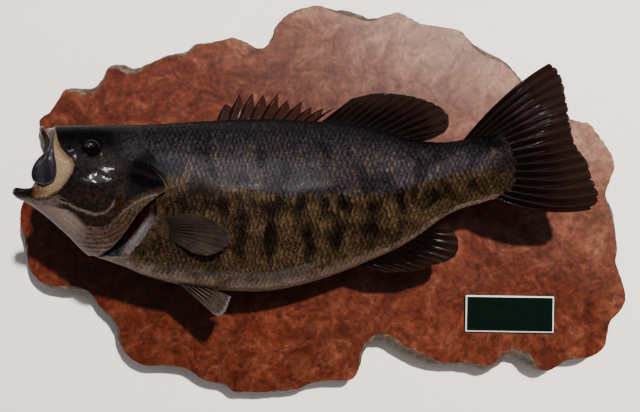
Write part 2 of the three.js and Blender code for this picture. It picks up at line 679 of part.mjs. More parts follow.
function namePlate() {
  const { width, height, thickness, bevel, turn } = PLATE;
  const corners = (inset) => [[-1, -1], [1, -1], [1, 1], [-1, 1]].map(([sx, sz]) => (
    new THREE.Vector2(sx * (width / 2 - inset), sz * (height / 2 - inset))
  ));
  const levels = [[GAP, 0], [thickness - bevel, 0], [thickness, bevel]];
  const outlines = levels.map(([lift, inset]) => corners(inset).map((p) => (
    new THREE.Vector3(p.x, -BOARD_THICKNESS - lift, p.y)
  )));
  const geometry = stack(outlines, corners(0));
  geometry.rotateY(-turn);
  return geometry.translate(PLATE.x, 0, PLATE.z);
}

// A strip with a saw-toothed lower edge, lying in a shallow pocket in the board's back.
function hanger() {
  const { length, width, thickness, recess, teeth, toothDepth, plainEnd, z } = HANGER;
  const outline = [[length / 2, width / 2], [-length / 2, width / 2], [-length / 2, -width / 2]];
  for (let i = 0; i < teeth; i += 1) {
    const step = (length - 2 * plainEnd) / teeth;
    const x = -length / 2 + plainEnd + i * step;
    outline.push([x, -width / 2], [x + step / 2, -width / 2 + toothDepth]);
  }
  outline.push([length / 2 - plainEnd, -width / 2], [length / 2, -width / 2]);
  const shape = new THREE.Shape(outline.map(([x, dz]) => new THREE.Vector2(x, dz)));
  const geometry = new THREE.ExtrudeGeometry(shape, { depth: thickness, bevelEnabled: false });
  geometry.rotateX(Math.PI / 2);
  return geometry.translate(0, GAP - recess + thickness, z);
}

// ---------------------------------------------------------------- finishes and the finished group

function finish(color, roughness, metalness = 0) {
  return new THREE.MeshStandardMaterial({ color, roughness, metalness });
}

const skin = finish(0x2c2a22, 0.22);
const paleSkin = finish(0x9a8f82, 0.25);
const bone = finish(0x3a3440, 0.2);
const finSkin = finish(0x1f1412, 0.25);
const glass = finish(0x1a0d0a, 0.05);
const mouthLining = finish(0xa8937a, 0.3);
const burl = finish(0x8a3f22, 0.35);
const plateFinish = finish(0x0c1a16, 0.3);
const steel = finish(0xb8b8b4, 0.35, 1);

const group = new THREE.Group();

function add(name, shape, material) {
  const mesh = new THREE.Mesh(shape.isBufferGeometry ? shape : geometryOf(shape), material);
  mesh.name = name;
  group.add(mesh);
}

add('board', board(), burl);
add('name_plate', namePlate(), plateFinish);
add('hanger', hanger(), steel);
add('head', head, skin);
add('upper_lip', upperLip(0).subtract(clearOfFish), bone);
add('maxilla_left', maxilla(1).subtract(besideLip), bone);
add('maxilla_right', maxilla(-1).subtract(besideLip), bone);
add('lower_jaw', lowerJaw, skin);
add('throat', throat, paleSkin);
add('tongue', tongue(), mouthLining);
add('gill_cover_left', gillCoverLeft, skin);
add('gill_cover_right', gillCoverRight, skin);
add('eye_left', eyeball(1, 0), glass);
add('eye_right', eyeball(-1, 0), glass);
add('trunk', trunk, skin);
add('tail_stem', tailStem, skin);
add('dorsal_fin_spiny', trim(fan(spinyColumns())), finSkin);
add('dorsal_fin_soft', trim(fan(softRays(SOFT_DORSAL))), finSkin);
add('anal_fin', trim(fan(softRays(ANAL_FIN))), finSkin);
add('tail_fin', trim(fan(softRays(TAIL_FIN), 3, TAIL_FIN.bow)), finSkin);
add('pectoral_fin_left', trim(fan(softRays(PECTORAL))), finSkin);
add('pectoral_fin_right', trim(fan(softRays(foldedPectoral))), finSkin);
add('pelvic_fin_left', trim(fan(softRays(PELVIC))), finSkin);
add('pelvic_fin_right', trim(fan(softRays(foldedPelvic))), finSkin);

export default group;
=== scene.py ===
"""A smallmouth bass skin mount on a slab of burl, as it hangs on a wall."""

import math

import bmesh
import bpy
import numpy as np
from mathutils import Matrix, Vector, geometry


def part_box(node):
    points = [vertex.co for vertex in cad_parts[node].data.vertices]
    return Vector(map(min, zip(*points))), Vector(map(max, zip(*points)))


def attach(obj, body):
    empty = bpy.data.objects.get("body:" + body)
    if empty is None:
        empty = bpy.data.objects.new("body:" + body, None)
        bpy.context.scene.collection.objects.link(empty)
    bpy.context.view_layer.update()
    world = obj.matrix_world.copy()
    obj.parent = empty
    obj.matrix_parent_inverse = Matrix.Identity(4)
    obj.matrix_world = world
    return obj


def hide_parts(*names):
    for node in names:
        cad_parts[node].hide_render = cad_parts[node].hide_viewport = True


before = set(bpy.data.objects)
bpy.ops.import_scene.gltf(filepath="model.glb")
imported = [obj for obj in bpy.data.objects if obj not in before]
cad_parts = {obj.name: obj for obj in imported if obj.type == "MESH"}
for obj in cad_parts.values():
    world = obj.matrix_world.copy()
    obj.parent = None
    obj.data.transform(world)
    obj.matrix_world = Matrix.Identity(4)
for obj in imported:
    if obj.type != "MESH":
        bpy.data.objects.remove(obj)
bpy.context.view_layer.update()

# ---------------------------------------------------------------- the room
# A pale wall that the mount hangs on and a pale floor far below it. The main lamp stands high on the
# right, in front, with two weak ones for the glints and a broad one at the right that fills the shadows.
# The clear coat on the fish mirrors a wide cool panel.

BOARD_FACE = -0.024
CAMERA_DISTANCE = 0.658
LAMP_PLACE = Vector((0.308, -1.0, 0.472)).normalized() * 2.6
MIDDLE = (0, 0, 0)
WALL_FRONT = 0.0006
WALL_HALF = 2.2
FLOOR_LEVEL = -1.3
scene = bpy.context.scene


def new_object(name, data):
    made = bpy.data.objects.new(name, data)
    scene.collection.objects.link(made)
    return made


def aim(thing, place, target):
    thing.location = place
    thing.rotation_euler = (Vector(target) - Vector(place)).to_track_quat("-Z", "Y").to_euler()


def area_lamp(name, place, target, size, watts, colour, glossy=True, diffuse=True):
    lamp = bpy.data.lights.new(name, "AREA")
    lamp.shape = "RECTANGLE"
    lamp.size, lamp.size_y = size
    lamp.energy = watts
    lamp.color = colour
    made = new_object(name, lamp)
    made.visible_glossy, made.visible_diffuse = glossy, diffuse
    aim(made, place, target)


camera = new_object("camera", bpy.data.cameras.new("camera"))
aim(camera, (0, BOARD_FACE - CAMERA_DISTANCE, 0), MIDDLE)
camera.data.lens = 39.4
camera.data.sensor_width = 36
camera.data.clip_start = 0.01
scene.camera = camera

area_lamp("key_lamp", LAMP_PLACE, MIDDLE, (0.1, 0.1), 200, (1.0, 0.97, 0.93), glossy=False)
area_lamp("glint_lamp", LAMP_PLACE, MIDDLE, (0.09, 0.09), 30, (1.0, 0.99, 0.98), diffuse=False)
area_lamp("low_glint_lamp", (0.17, -1.79, 0.46), (-0.18, -0.13, 0.02), (0.06, 0.06), 0.8,
          (1.0, 0.99, 0.98), diffuse=False)
area_lamp("fill_lamp", (1.5, -1.3, -0.3), (0.1, 0, 0), (1.6, 1.6), 7, (1.0, 0.92, 0.92), glossy=False)
area_lamp("sky_panel", (0, -1.87, 0.94), (0, -0.1, 0), (2.8, 1.05), 9.2, (0.95, 0.88, 1.0))

world = bpy.data.worlds.new("room")
world.use_nodes = True
world.node_tree.nodes["Background"].inputs["Color"].default_value = (0.62, 0.66, 0.72, 1)
world.node_tree.nodes["Background"].inputs["Strength"].default_value = 0.05
scene.world = world


def put(tree, value, socket):
    """Links a socket to a node's output, or sets it to a plain value; a colour is three numbers."""
    if isinstance(value, bpy.types.NodeSocket):
        tree.links.new(value, socket)
    else:
        socket.default_value = (*value, 1) if socket.type == "RGBA" else value


def add_node(tree, kind, *values, **settings):
    """A node with its properties set, and its inputs given by their names or in their order."""
    made = tree.nodes.new(kind)
    for name, value in settings.items():
        if name in made.bl_rna.properties:
            setattr(made, name, value)
        else:
            put(tree, value, made.inputs[name.replace("_", " ")])
    for value, socket in zip(values, made.inputs):
        put(tree, value, socket)
    return made


class Shader:
    """The node tree of a material or of a shared group, with short ways to add to it."""

    def __init__(self, tree):
        self.tree = tree
        self.place = self.node("TexCoord").outputs["Object"]

    def node(self, kind, *values, **settings):
        return add_node(self.tree, "ShaderNode" + kind, *values, **settings)

    def noise(self, scale, detail, vector=None, output="Fac", **settings):
        return self.node("TexNoise", Vector=vector or self.place, Scale=scale, Detail=detail,
                         **settings).outputs[output]

    def carried(self, name):
        """A value that each point of the mesh carries."""
        return self.node("Attribute", attribute_name=name).outputs["Fac"]

    def math(self, operation, *values):
        return self.node("Math", *values, operation=operation).outputs[0]

    def mix(self, factor, first, second, blend="MIX"):
        made = self.node("Mix", data_type="RGBA", blend_type=blend)
        for number, value in ((0, factor), (6, first), (7, second)):
            put(self.tree, value, made.inputs[number])
        return made.outputs[2]

    def ramp(self, factor, stops):
        """A colour ramp from (place, colour) stops; a colour is one grey value or three numbers."""
        made = self.node("ValToRGB", factor)
        elements = made.color_ramp.elements
        while len(elements) < len(stops):
            elements.new(1)
        for element, (place, colour) in zip(elements, stops):
            element.position = place
            element.color = (*colour, 1) if isinstance(colour, tuple) else (colour, colour, colour, 1)
        return made.outputs["Color"]

    def mottle(self, share, colour, pattern, stops):
        """A colour made lighter and darker by a ramp over a pattern."""
        return self.mix(share, colour, self.ramp(pattern, stops), "MULTIPLY")

    def dress(self, colour, rough, relief=None, strength=0.0, depth=0.0):
        """The material, with its colour and roughness linked and its finest relief as bump."""
        put(self.tree, colour, self.surface.inputs["Base Color"])
        put(self.tree, rough, self.surface.inputs["Roughness"])
        if relief:
            bump = self.node("Bump", Strength=strength, Distance=depth, Height=relief)
            put(self.tree, bump.outputs[0], self.surface.inputs["Normal"])
        return self.material


def new_material(name, **settings):
    """The shader of a new material with one Principled BSDF, whose plain values are set here."""
    material = bpy.data.materials.new(name)
    material.use_nodes = True
    shader = Shader(material.node_tree)
    shader.material = material
    shader.surface = material.node_tree.nodes["Principled BSDF"]
    for socket, value in settings.items():
        put(shader.tree, value, shader.surface.inputs[socket.replace("_", " ")])
    return shader


def plain_sheet(name, near, far, colour, clear_from_behind):
    """A sheet as wide as the wall, between a near and a far edge given as y and z."""
    mesh = bpy.data.meshes.new(name)
    corners = [(-WALL_HALF, *near), (WALL_HALF, *near), (WALL_HALF, *far), (-WALL_HALF, *far)]
    mesh.from_pydata(corners, [], [range(4)])
    shader = new_material(name)
    shader.dress(shader.mix(0.03, colour, shader.noise(60.0, 6.0), "MULTIPLY"), 0.9)
    if clear_from_behind:
        both = shader.node("MixShader", shader.node("NewGeometry").outputs["Backfacing"],
                           shader.surface.outputs[0], shader.node("BsdfTransparent").outputs[0])
        put(shader.tree, both.outputs[0], shader.tree.nodes["Material Output"].inputs["Surface"])
    mesh.materials.append(shader.material)
    new_object(name, mesh)


plain_sheet("wall", (WALL_FRONT, FLOOR_LEVEL), (WALL_FRONT, WALL_HALF), (0.80, 0.758, 0.715), True)
plain_sheet("floor", (-0.6, FLOOR_LEVEL), (0.1, FLOOR_LEVEL), (0.7, 0.69, 0.67), False)

# ---------------------------------------------------------------- the slab
# A slice of red-brown burl, sanded flat and lacquered on its face. Its rim is the natural edge of the
# burl, bark stripped off, with a pale or dark band where the rim rolls over to the face.

MM = 0.001
RIM_POINTS = 1024
# Height above the back and inset of the rim, in millimetres, for an even stretch of it.
RIM_LEVELS = [(0, 4.4), (1.6, 2.4), (4.5, 0.6), (8, 0), (13, 0), (17, 0.3), (19.6, 0.9), (21.4, 1.8),
              (22.8, 2.9), (23.6, 3.9), (24, 4.6)]
# Where the band is broad: x and z on the rim, and how broad.
BROAD_RIM = [(-222, 109, 1.2), (-180, 133, 1.3), (-130, 146, 0.8), (32, 184, 1.3), (160, 147, 1.0),
             (205, 104, 0.8), (62, -130, 1.6), (95, -147, 1.7), (150, -152, 0.9), (186, -146, 1.7),
             (-282, -30, 0.6), (-240, -81, 0.8), (-195, -118, 0.8), (272, -2, 0.7)]
BROAD_RIM_SPREAD = 19
RIM_DEPTH_SAMPLED = -0.005


def rim_line(node, y):
    """The closed line of a CAD node's rim at depth y, in order, in the node's own x and z."""
    net = bmesh.new()
    net.from_mesh(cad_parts[node].data)
    bmesh.ops.remove_doubles(net, verts=net.verts, dist=1e-5)
    on_line = {v for v in net.verts if abs(v.co.y - y) < 1e-5}
    line = [max(on_line, key=lambda v: v.co.x)]
    while True:
        ways = [e.other_vert(line[-1]) for e in line[-1].link_edges]
        ahead = [v for v in ways if v in on_line and v not in line]
        if not ahead:
            break
        line.append(min(ahead, key=lambda v: (v.co - line[-1].co).length))
    found = np.array([(v.co.x, v.co.z) for v in line])
    net.free()
    return found


def curve_through(points, count, closed=False):
    """Evenly spaced places along a smooth curve through the points."""
    points = np.asarray(points, float)
    before, after = 2 * points[:1] - points[1:2], 2 * points[-1:] - points[-2:-1]
    if closed:
        before, after = points[-1:], points[:2]
    padded = np.vstack([before, points, after])
    a, b, c, d = (padded[k:len(padded) - 3 + k, None, :] for k in range(4))
    t = np.linspace(0, 1, 16, endpoint=False)[None, :, None]
    fine = 0.5 * (2 * b + (c - a) * t + (2 * a - 5 * b + 4 * c - d) * t**2
                  + (3 * b - a - 3 * c + d) * t**3)
    fine = np.vstack([fine.reshape(-1, points.shape[1]), points[:1] if closed else points[-1:]])
    along = np.r_[0, np.cumsum(np.linalg.norm(np.diff(fine, axis=0), axis=1))]
    at = np.linspace(0, along[-1], count, endpoint=not closed)
    return np.stack([np.interp(at, along, fine[:, k]) for k in range(points.shape[1])], 1)


def wander(turn, lowest, highest, seed):
    """A wavy line round a closed loop, about 1 high, from waves of many lengths."""
    dice = np.random.default_rng(seed)
    waves = np.arange(lowest, highest)
    strength = dice.normal(size=len(waves)) / np.sqrt(len(waves))
    shift = dice.uniform(0, 2 * np.pi, len(waves))
    return (strength * np.sin(np.outer(turn, waves) + shift)).sum(1)


def bell(distance, width):
    return np.exp(-((distance / width) ** 2))


def grid_faces(rows, columns, closed):
    """Quads of a grid of points, row by row, whose rows may close on themselves."""
    across = columns if closed else columns - 1
    i, j = np.meshgrid(np.arange(rows - 1), np.arange(across), indexing="ij")
    k = (j + 1) % columns
    return np.stack([i * columns + j, i * columns + k, (i + 1) * columns + k, (i + 1) * columns + j],
                    -1).reshape(-1, 4)


def new_piece(name, points, faces, material, slot, stands_for=(), smooth=True, shut=True):
    """A piece of the mount from points in millimetres, with its faces turned outwards."""
    mesh = bpy.data.meshes.new(name)
    mesh.from_pydata((np.asarray(points, float) * MM).tolist(), [], [list(map(int, f)) for f in faces])
    net = bmesh.new()
    net.from_mesh(mesh)
    if shut:
        bmesh.ops.recalc_face_normals(net, faces=net.faces)
    for face in net.faces:
        face.smooth = smooth
    net.to_mesh(mesh)
    net.free()
    mesh.materials.append(material)
    made = new_object(name, mesh)
    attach(made, "root")
    if stands_for:
        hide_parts(*stands_for)
    return made


def mark(piece, **values):
    """Attributes of a piece's points, one number or one vector for each."""
    for name, value in values.items():
        value = np.asarray(value, np.float32)
        kind, field = ("FLOAT", "value") if value.ndim == 1 else ("FLOAT_VECTOR", "vector")
        layer = piece.data.attributes.new(name, kind, "POINT")
        layer.data.foreach_set(field, value.ravel())


def burl_material():
    """Fine swirls and dark eyes, orange-red, paling to tan towards the upper right as a painted glare,
    under satin lacquer, with a raw natural rim.
    """
    shader = new_material("burl", Specular_IOR_Level=0.4)
    drift = shader.noise(9.0, 5.0, output="Color")
    bent = shader.node("VectorMath", drift, (0.05, 0.05, 0.05), shader.place,
                       operation="MULTIPLY_ADD").outputs[0]
    swirl = shader.noise(52.0, 10.0, bent, Roughness=0.68, Distortion=0.8)
    broad = shader.noise(11.0, 4.0, bent, Distortion=1.2)
    fine = shader.noise(210.0, 6.0, bent, Roughness=0.72)
    eyes = shader.node("TexVoronoi", Vector=bent, Scale=95.0, Randomness=1.0).outputs["Distance"]
    wood = shader.ramp(swirl, [(0.30, (0.027, 0.0040, 0.0015)), (0.44, (0.050, 0.0090, 0.0032)),
                               (0.56, (0.070, 0.0158, 0.0066)), (0.70, (0.120, 0.0380, 0.0190))])
    wood = shader.mottle(0.85, wood, broad, [(0.38, (0.78, 0.70, 0.66)), (0.52, (1.0, 1.0, 1.0)),
                                             (0.66, (1.18, 1.12, 1.05))])
    where_eyes = shader.math("MULTIPLY", shader.ramp(eyes, [(0.12, 1.0), (0.32, 0.0)]),
                             shader.ramp(broad, [(0.42, 1.0), (0.58, 0.15)]))
    wood = shader.mix(shader.math("MULTIPLY", where_eyes, 0.75), wood, (0.026, 0.0050, 0.0022))
    wood = shader.mottle(0.8, wood, fine, [(0.36, 0.4), (0.5, 0.98), (0.64, 1.6)])
    apart = shader.node("SeparateXYZ", shader.place).outputs
    # Painted glare: the face turns paler and tan towards the upper right, where the lamp's highlight on the
    # lacquer falls.
    to_upper_right = shader.math("ADD", shader.math("MULTIPLY_ADD", apart["Z"], 1.3, 0.5),
                                 shader.math("MULTIPLY", apart["X"], 0.75))
    painted_glare = shader.ramp(swirl, [(0.3, (0.125, 0.054, 0.034)), (0.5, (0.215, 0.115, 0.078)),
                                   (0.7, (0.340, 0.208, 0.148))])
    painted_glare = shader.mottle(0.8, painted_glare, fine, [(0.32, 0.55), (0.5, 1.0), (0.68, 1.35)])
    pale = shader.ramp(to_upper_right, [(0.57, 0.0), (0.71, 0.2), (0.77, 0.57), (0.95, 0.95)])
    wood = shader.mix(pale, wood, painted_glare)
    ridges = shader.noise(150.0, 7.0, Roughness=0.7)
    raw = shader.ramp(ridges, [(0.32, (0.022, 0.011, 0.007)), (0.5, (0.050, 0.033, 0.022)),
                               (0.66, (0.115, 0.086, 0.062))])
    edge = shader.ramp(shader.carried("raw_rim"), [(0.05, 0.0), (0.3, 1.0)])
    rough = shader.mix(edge, shader.math("MULTIPLY_ADD", fine, 0.08, 0.35), (0.72, 0.72, 0.72))
    relief = shader.mix(edge, shader.math("MULTIPLY", fine, 0.12), ridges)
    return shader.dress(shader.mix(edge, wood, raw), rough, relief, 0.35, 0.0008)


rim = rim_line("board", RIM_DEPTH_SAMPLED) / MM
if np.sum(rim[:, 0] * np.roll(rim[:, 1], -1) - rim[:, 1] * np.roll(rim[:, 0], -1)) < 0:
    rim = rim[::-1]
rim = curve_through(rim, RIM_POINTS, closed=True)
rim_turn = np.linspace(0, 2 * np.pi, RIM_POINTS, endpoint=False)
rim_out = np.roll(rim, -1, 0) - np.roll(rim, 1, 0)
rim_out = np.stack([rim_out[:, 1], -rim_out[:, 0]], 1) / np.linalg.norm(rim_out, axis=1)[:, None]
band = 0.42 + 0.16 * wander(rim_turn, 6, 60, 3)
for x, z, breadth in BROAD_RIM:
    band += breadth * bell(np.hypot(rim[:, 0] - x, rim[:, 1] - z), BROAD_RIM_SPREAD)
band = np.clip(band, 0.18, 1.9)
slab_points = []
for number, (height, inset) in enumerate(RIM_LEVELS):
    ripple = 0.35 * wander(rim_turn, 30, 260, 11 + number // 3) * (0.3 if number < 3 else 1)
    ripple = np.minimum(ripple, 0.25) if height < RIM_LEVELS[-1][0] else 0
    level = rim + rim_out * (ripple - inset * (band if height > 13 else 1))[:, None]
    slab_points.append(np.column_stack([level[:, 0], np.full(RIM_POINTS, -height), level[:, 1]]))
slab_faces = grid_faces(len(RIM_LEVELS), RIM_POINTS, True).tolist()
last_level = (len(RIM_LEVELS) - 1) * RIM_POINTS
for first, flip in ((last_level, 1), (0, -1)):
    flat = slab_points[first // RIM_POINTS][:, [0, 2]]
    caps = geometry.tessellate_polygon([[Vector((x, z, 0)) for x, z in flat]])
    slab_faces += [[first + i for i in cap][::flip] for cap in caps]
slab = new_piece("burl_slab", np.vstack(slab_points), slab_faces, burl_material(), "burl", ["board"],
                 smooth=False)
mark(slab, raw_rim=np.arange(len(RIM_LEVELS) * RIM_POINTS) < last_level)
for polygon in slab.data.polygons:
    polygon.use_smooth = len(polygon.vertices) == 4

# ---------------------------------------------------------------- the name plate
# Dark green-black laminate with a white core: the bevel round its face shows as a thin white line.
# The face is blank.

PLATE = {"x": 177.3, "z": -101, "width": 82.5, "height": 34, "turn": -0.016}
# Height above the slab, inset, and whether the white core shows there.
PLATE_LEVELS = [(0.3, 0, 0), (3.0, 0, 0), (3.1, 0.05, 1), (3.85, 1.15, 1), (3.95, 1.3, 0), (4, 1.5, 0)]
CORNER_STEPS = 5
CORNER_RADIUS = 0.8


def rounded_corners(half_width, half_height, radius):
    turns = np.linspace(0, np.pi / 2, CORNER_STEPS)
    corners = []
    for number, (sx, sz) in enumerate([(1, 1), (-1, 1), (-1, -1), (1, -1)]):
        turn = turns + number * np.pi / 2
        corners.append(np.column_stack([sx * (half_width - radius) + radius * np.cos(turn),
                                        sz * (half_height - radius) + radius * np.sin(turn)]))
    return np.vstack(corners)


def plate_material():
    """Satin laminate with a faint scuff, and its white core where the bevel cuts through."""
    shader = new_material("plate_laminate", Specular_IOR_Level=0.1)
    scuff = shader.noise(240.0, 5.0)
    dark = shader.mix(scuff, (0.0006, 0.0026, 0.0016), (0.0014, 0.0046, 0.0030))
    return shader.dress(shader.mix(shader.carried("white_core"), dark, (0.55, 0.55, 0.53)),
                        shader.math("MULTIPLY_ADD", scuff, 0.2, 0.3))


plate_points = []
for height, inset, _ in PLATE_LEVELS:
    flat = rounded_corners(PLATE["width"] / 2 - inset, PLATE["height"] / 2 - inset, CORNER_RADIUS)
    cos, sin = math.cos(PLATE["turn"]), math.sin(PLATE["turn"])
    x = PLATE["x"] + flat[:, 0] * cos - flat[:, 1] * sin
    z = PLATE["z"] + flat[:, 0] * sin + flat[:, 1] * cos
    plate_points.append(np.column_stack([x, np.full(len(x), BOARD_FACE / MM - height), z]))
around = 4 * CORNER_STEPS
plate_faces = grid_faces(len(PLATE_LEVELS), around, True).tolist()
plate_faces += [range(around), range((len(PLATE_LEVELS) - 1) * around, len(PLATE_LEVELS) * around)]
plate = new_piece("blank_plate", np.vstack(plate_points), plate_faces, plate_material(), "plate",
                  ["name_plate"], smooth=False)
mark(plate, white_core=np.repeat([core for _, _, core in PLATE_LEVELS], around))

# ---------------------------------------------------------------- the hanger
# The mount hangs by a saw-toothed strip of zinc-plated steel, let into a shallow pocket in the slab's
# back and held by two small dome screws.

SCREW_INSET = 4.2
SCREW_HEAD_RADIUS = 2.2
SCREW_SUNK = 0.4


def steel_material():
    shader = new_material("zinc_steel", Metallic=1.0)
    brushed = shader.node("Mapping", Vector=shader.place, Scale=(40, 900, 900)).outputs[0]
    grain = shader.noise(1.0, 3.0, brushed)
    return shader.dress(shader.mix(grain, (0.42, 0.42, 0.41), (0.62, 0.62, 0.6)),
                        shader.math("MULTIPLY_ADD", grain, 0.2, 0.28))


def coat_node(node, material):
    """The material of a CAD node that shows as it is."""
    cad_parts[node].data.materials.clear()
    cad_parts[node].data.materials.append(material)


def screws_tree():
    """A row of dome screw heads: how many, how far apart and how large."""
    tree = bpy.data.node_groups.new("dome_screws", "GeometryNodeTree")
    for name, kind in (("Count", "Int"), ("Spread", "Float"), ("Radius", "Float"), ("Finish", "Material")):
        tree.interface.new_socket(name, in_out="INPUT", socket_type="NodeSocket" + kind)
    tree.interface.new_socket("Geometry", in_out="OUTPUT", socket_type="NodeSocketGeometry")
    given = tree.nodes.new("NodeGroupInput").outputs
    ends = []
    for sign in (-0.5, 0.5):
        half = add_node(tree, "ShaderNodeMath", given["Spread"], sign, operation="MULTIPLY")
        ends.append(add_node(tree, "ShaderNodeCombineXYZ", half.outputs[0]).outputs[0])
    row = add_node(tree, "GeometryNodeMeshLine", mode="END_POINTS", Count=given["Count"],
                   Start_Location=ends[0], Offset=ends[1])
    ball = add_node(tree, "GeometryNodeMeshUVSphere", Segments=20, Rings=10, Radius=given["Radius"])
    head = add_node(tree, "GeometryNodeTransform", Geometry=ball.outputs["Mesh"], Scale=(1, 0.3, 1))
    heads = add_node(tree, "GeometryNodeInstanceOnPoints", Points=row.outputs["Mesh"],
                     Instance=head.outputs["Geometry"])
    real = add_node(tree, "GeometryNodeRealizeInstances", heads.outputs["Instances"])
    finish = add_node(tree, "GeometryNodeSetMaterial", Geometry=real.outputs[0],
                      Material=given["Finish"])
    put(tree, finish.outputs[0], tree.nodes.new("NodeGroupOutput").inputs[0])
    return tree


def grown(name, tree, slot, place, **sizes):
    """The plain mesh that a Geometry Nodes tree makes with these sizes, moved to its place."""
    holder = new_object(name, bpy.data.meshes.new(name))
    modifier = holder.modifiers.new("grow", "NODES")
    modifier.node_group = tree
    for item in tree.interface.items_tree:
        if item.in_out == "INPUT":
            modifier[item.identifier] = sizes[item.name]
    bpy.context.view_layer.update()
    ready = holder.evaluated_get(bpy.context.evaluated_depsgraph_get())
    mesh = bpy.data.meshes.new_from_object(ready)
    holder.modifiers.clear()
    holder.data = mesh
    mesh.name = name
    for vertex in mesh.vertices:
        vertex.co += place
    mesh.shade_smooth()
    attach(holder, "root")


steel = steel_material()
coat_node("hanger", steel)
hanger_low, hanger_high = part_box("hanger")
hanger_middle = (hanger_low + hanger_high) / 2
grown("hanger_screws", screws_tree(), "steel",
      Vector((hanger_middle.x, hanger_high.y - SCREW_SUNK * MM, hanger_middle.z)), Count=2,
      Spread=hanger_high.x - hanger_low.x - 2 * SCREW_INSET * MM, Radius=SCREW_HEAD_RADIUS * MM,
      Finish=steel)

# ---------------------------------------------------------------- the skin
# One tanned skin, painted and clear-coated, from deep in the open mouth over the lips and the head,
# round the free edges of the gill covers and back to the root of the tail. Scales lie over it.


def smooth(*pairs):
    """A smooth curve through (place, value) pairs, level with the mean slope at each of them."""
    at, value = np.array(pairs, float).T
    before = np.r_[0, np.arange(len(at) - 1)]
    after = np.r_[np.arange(1, len(at)), len(at) - 1]
    slope = (value[after] - value[before]) / (at[after] - at[before])

    def curve(x):
        x = np.clip(x, at[0], at[-1])
        i = np.clip(np.searchsorted(at, x, side="right") - 1, 0, len(at) - 2)
        span = at[i + 1] - at[i]
        t = (x - at[i]) / span
        leave = t * (1 - t) ** 2 * span * slope[i]
        arrive = t * t * (t - 1) * span * slope[i + 1]
        return value[i] + (value[i + 1] - value[i]) * t * t * (3 - 2 * t) + leave + arrive

    return curve


# The fish in its own middle plane, in millimetres: x along the slab, z up, heights above the slab.
LIP_X = -220
CHIN_REACH = 24
TAIL_ROOT_X = 155
TAIL_ROOT_BULGE = 10
FLANK_X = -96
middle_height = smooth((-262, 110), (-217, 92), (-150, 65.5), (-104, 51.5), (-61, 43), (-17, 41.5),
                       (26, 44.5), (87, 50), (146, 57.5), (203, 65), (245, 69.5))
back_line = smooth((-228, 62.5), (-221, 64), (-200, 66), (-144, 69.2), (-104, 73.4), (-61, 76.5),
                   (-18, 75.4), (26, 71.8), (57, 65.3), (83, 57.5), (104, 55.4), (121, 56.8), (140, 61.5),
                   (155, 65.5))
belly_line = smooth((-245, 10.5), (-241, 6), (-232, 1), (-218, -11.5), (-204, -26.5), (-191, -39.5),
                    (-184, -43.5), (-180, -44), (-167, -50), (-144, -60.5), (-104, -71), (-61, -74.8),
                    (-35, -73), (-9, -67.5), (17, -58.6), (52, -44.4), (70, -35.7), (87, -25), (104, -12),
                    (121, -3), (140, 2), (155, 3.5))
half_width = smooth((-228, 17), (-216, 20.5), (-200, 23.5), (-182, 26.5), (-165, 29.5), (-144, 33),
                    (-120, 37.5), (-90, 42), (-61, 43.5), (-18, 42), (26, 36.5), (57, 30), (83, 23.5),
                    (104, 18), (121, 13.8), (140, 8.8), (155, 4.4), (165, 2.6))
widest_share = smooth((-228, 0.5), (-182, 0.52), (-144, 0.5), (-61, 0.5), (57, 0.52), (165, 0.5))
back_roundness = smooth((-228, 2.3), (-182, 2.5), (-144, 2.2), (-61, 1.95), (57, 1.9), (165, 2))
belly_roundness = smooth((-228, 2.1), (-200, 1.75), (-175, 1.8), (-144, 2.1), (-61, 2.3), (57, 2.1),
                         (165, 2))
gill_edge = smooth((0, -163), (0.2, -157), (0.28, -150), (0.39, -138), (0.44, -135.5), (0.475, -142),
                   (0.524, -150), (0.61, -157.5), (0.687, -162.5), (0.757, -166.5), (0.84, -171.5),
                   (0.9, -175.5), (1, -184))
GILL_SLIT_TOP = 0.28
GILL_SLIT_FADE = 0.12
GILL_FLARE = 5
GILL_COVER_WALL = 1.6
GILL_DEPTH = 5
GILL_UNDERCUT = 8
CHAMBER_TAPER = 1.2
SHOULDER_GAP = 12
SHOULDER_ROLL = 3.2
RING_CREEP = 0.05
lip_sag = smooth((0, 0), (0.1, 3), (0.25, 8), (0.4, 10), (0.55, 10), (0.75, 11), (0.87, 8), (0.94, 2),
                 (1, 0))
LIP_WALL = 4.5
LIP_ROLL = 1.3
MOUTH_END = -166
mouth_roof = smooth((-220, 57), (-208, 46), (-195, 35), (-180, 26), (-166, 17))
mouth_floor = smooth((-220, 11), (-208, 2), (-195, -7), (-180, -11), (-166, -5))
mouth_half_width = smooth((-220, 15), (-208, 17), (-195, 18), (-180, 16), (-166, 8))
COAT_DEPTH = 0.5
SLAB_CLEARANCE = 0.6
SKIN_AROUND = 264


def rise(x, low, high):
    """0 below low, 1 above high, and smooth between them."""
    t = np.clip((x - low) / (high - low), 0, 1)
    return t * t * (3 - 2 * t)


def chin_lean(x):
    return CHIN_REACH * (1 - rise(x, LIP_X, -165))


def heights(x):
    """Top, bottom and widest height of the fish at a station."""
    top, bottom = back_line(x), belly_line(x - chin_lean(x))
    return top, bottom, bottom + (top - bottom) * widest_share(x)


def section(x, angle, swell):
    """Middle-plane x and z and the side distance of the fish's surface, round from back to belly."""
    top, bottom, widest = heights(x)
    cos, sin = np.cos(angle), np.sin(angle)
    power = 2 / np.where(cos > 0, back_roundness(x), belly_roundness(x))
    reach = np.where(cos > 0, top - widest, widest - bottom) + swell
    z = widest + np.sign(cos) * reach * np.abs(cos) ** power
    side = np.sign(sin) * (half_width(x) + swell) * np.abs(sin) ** power
    down = np.clip((top - z) / (top - bottom), 0, 1)
    return x - chin_lean(x) * down, z, side


def place(x, z, side):
    """A point of the fish in millimetres, side millimetres towards the room (+) or the slab (-)."""
    slope = middle_height(x + 0.5) - middle_height(x - 0.5)
    length = np.hypot(1, slope)
    y = BOARD_FACE / MM - middle_height(x) - side / length
    return np.stack(np.broadcast_arrays(x - slope / length * side, y, z), -1)


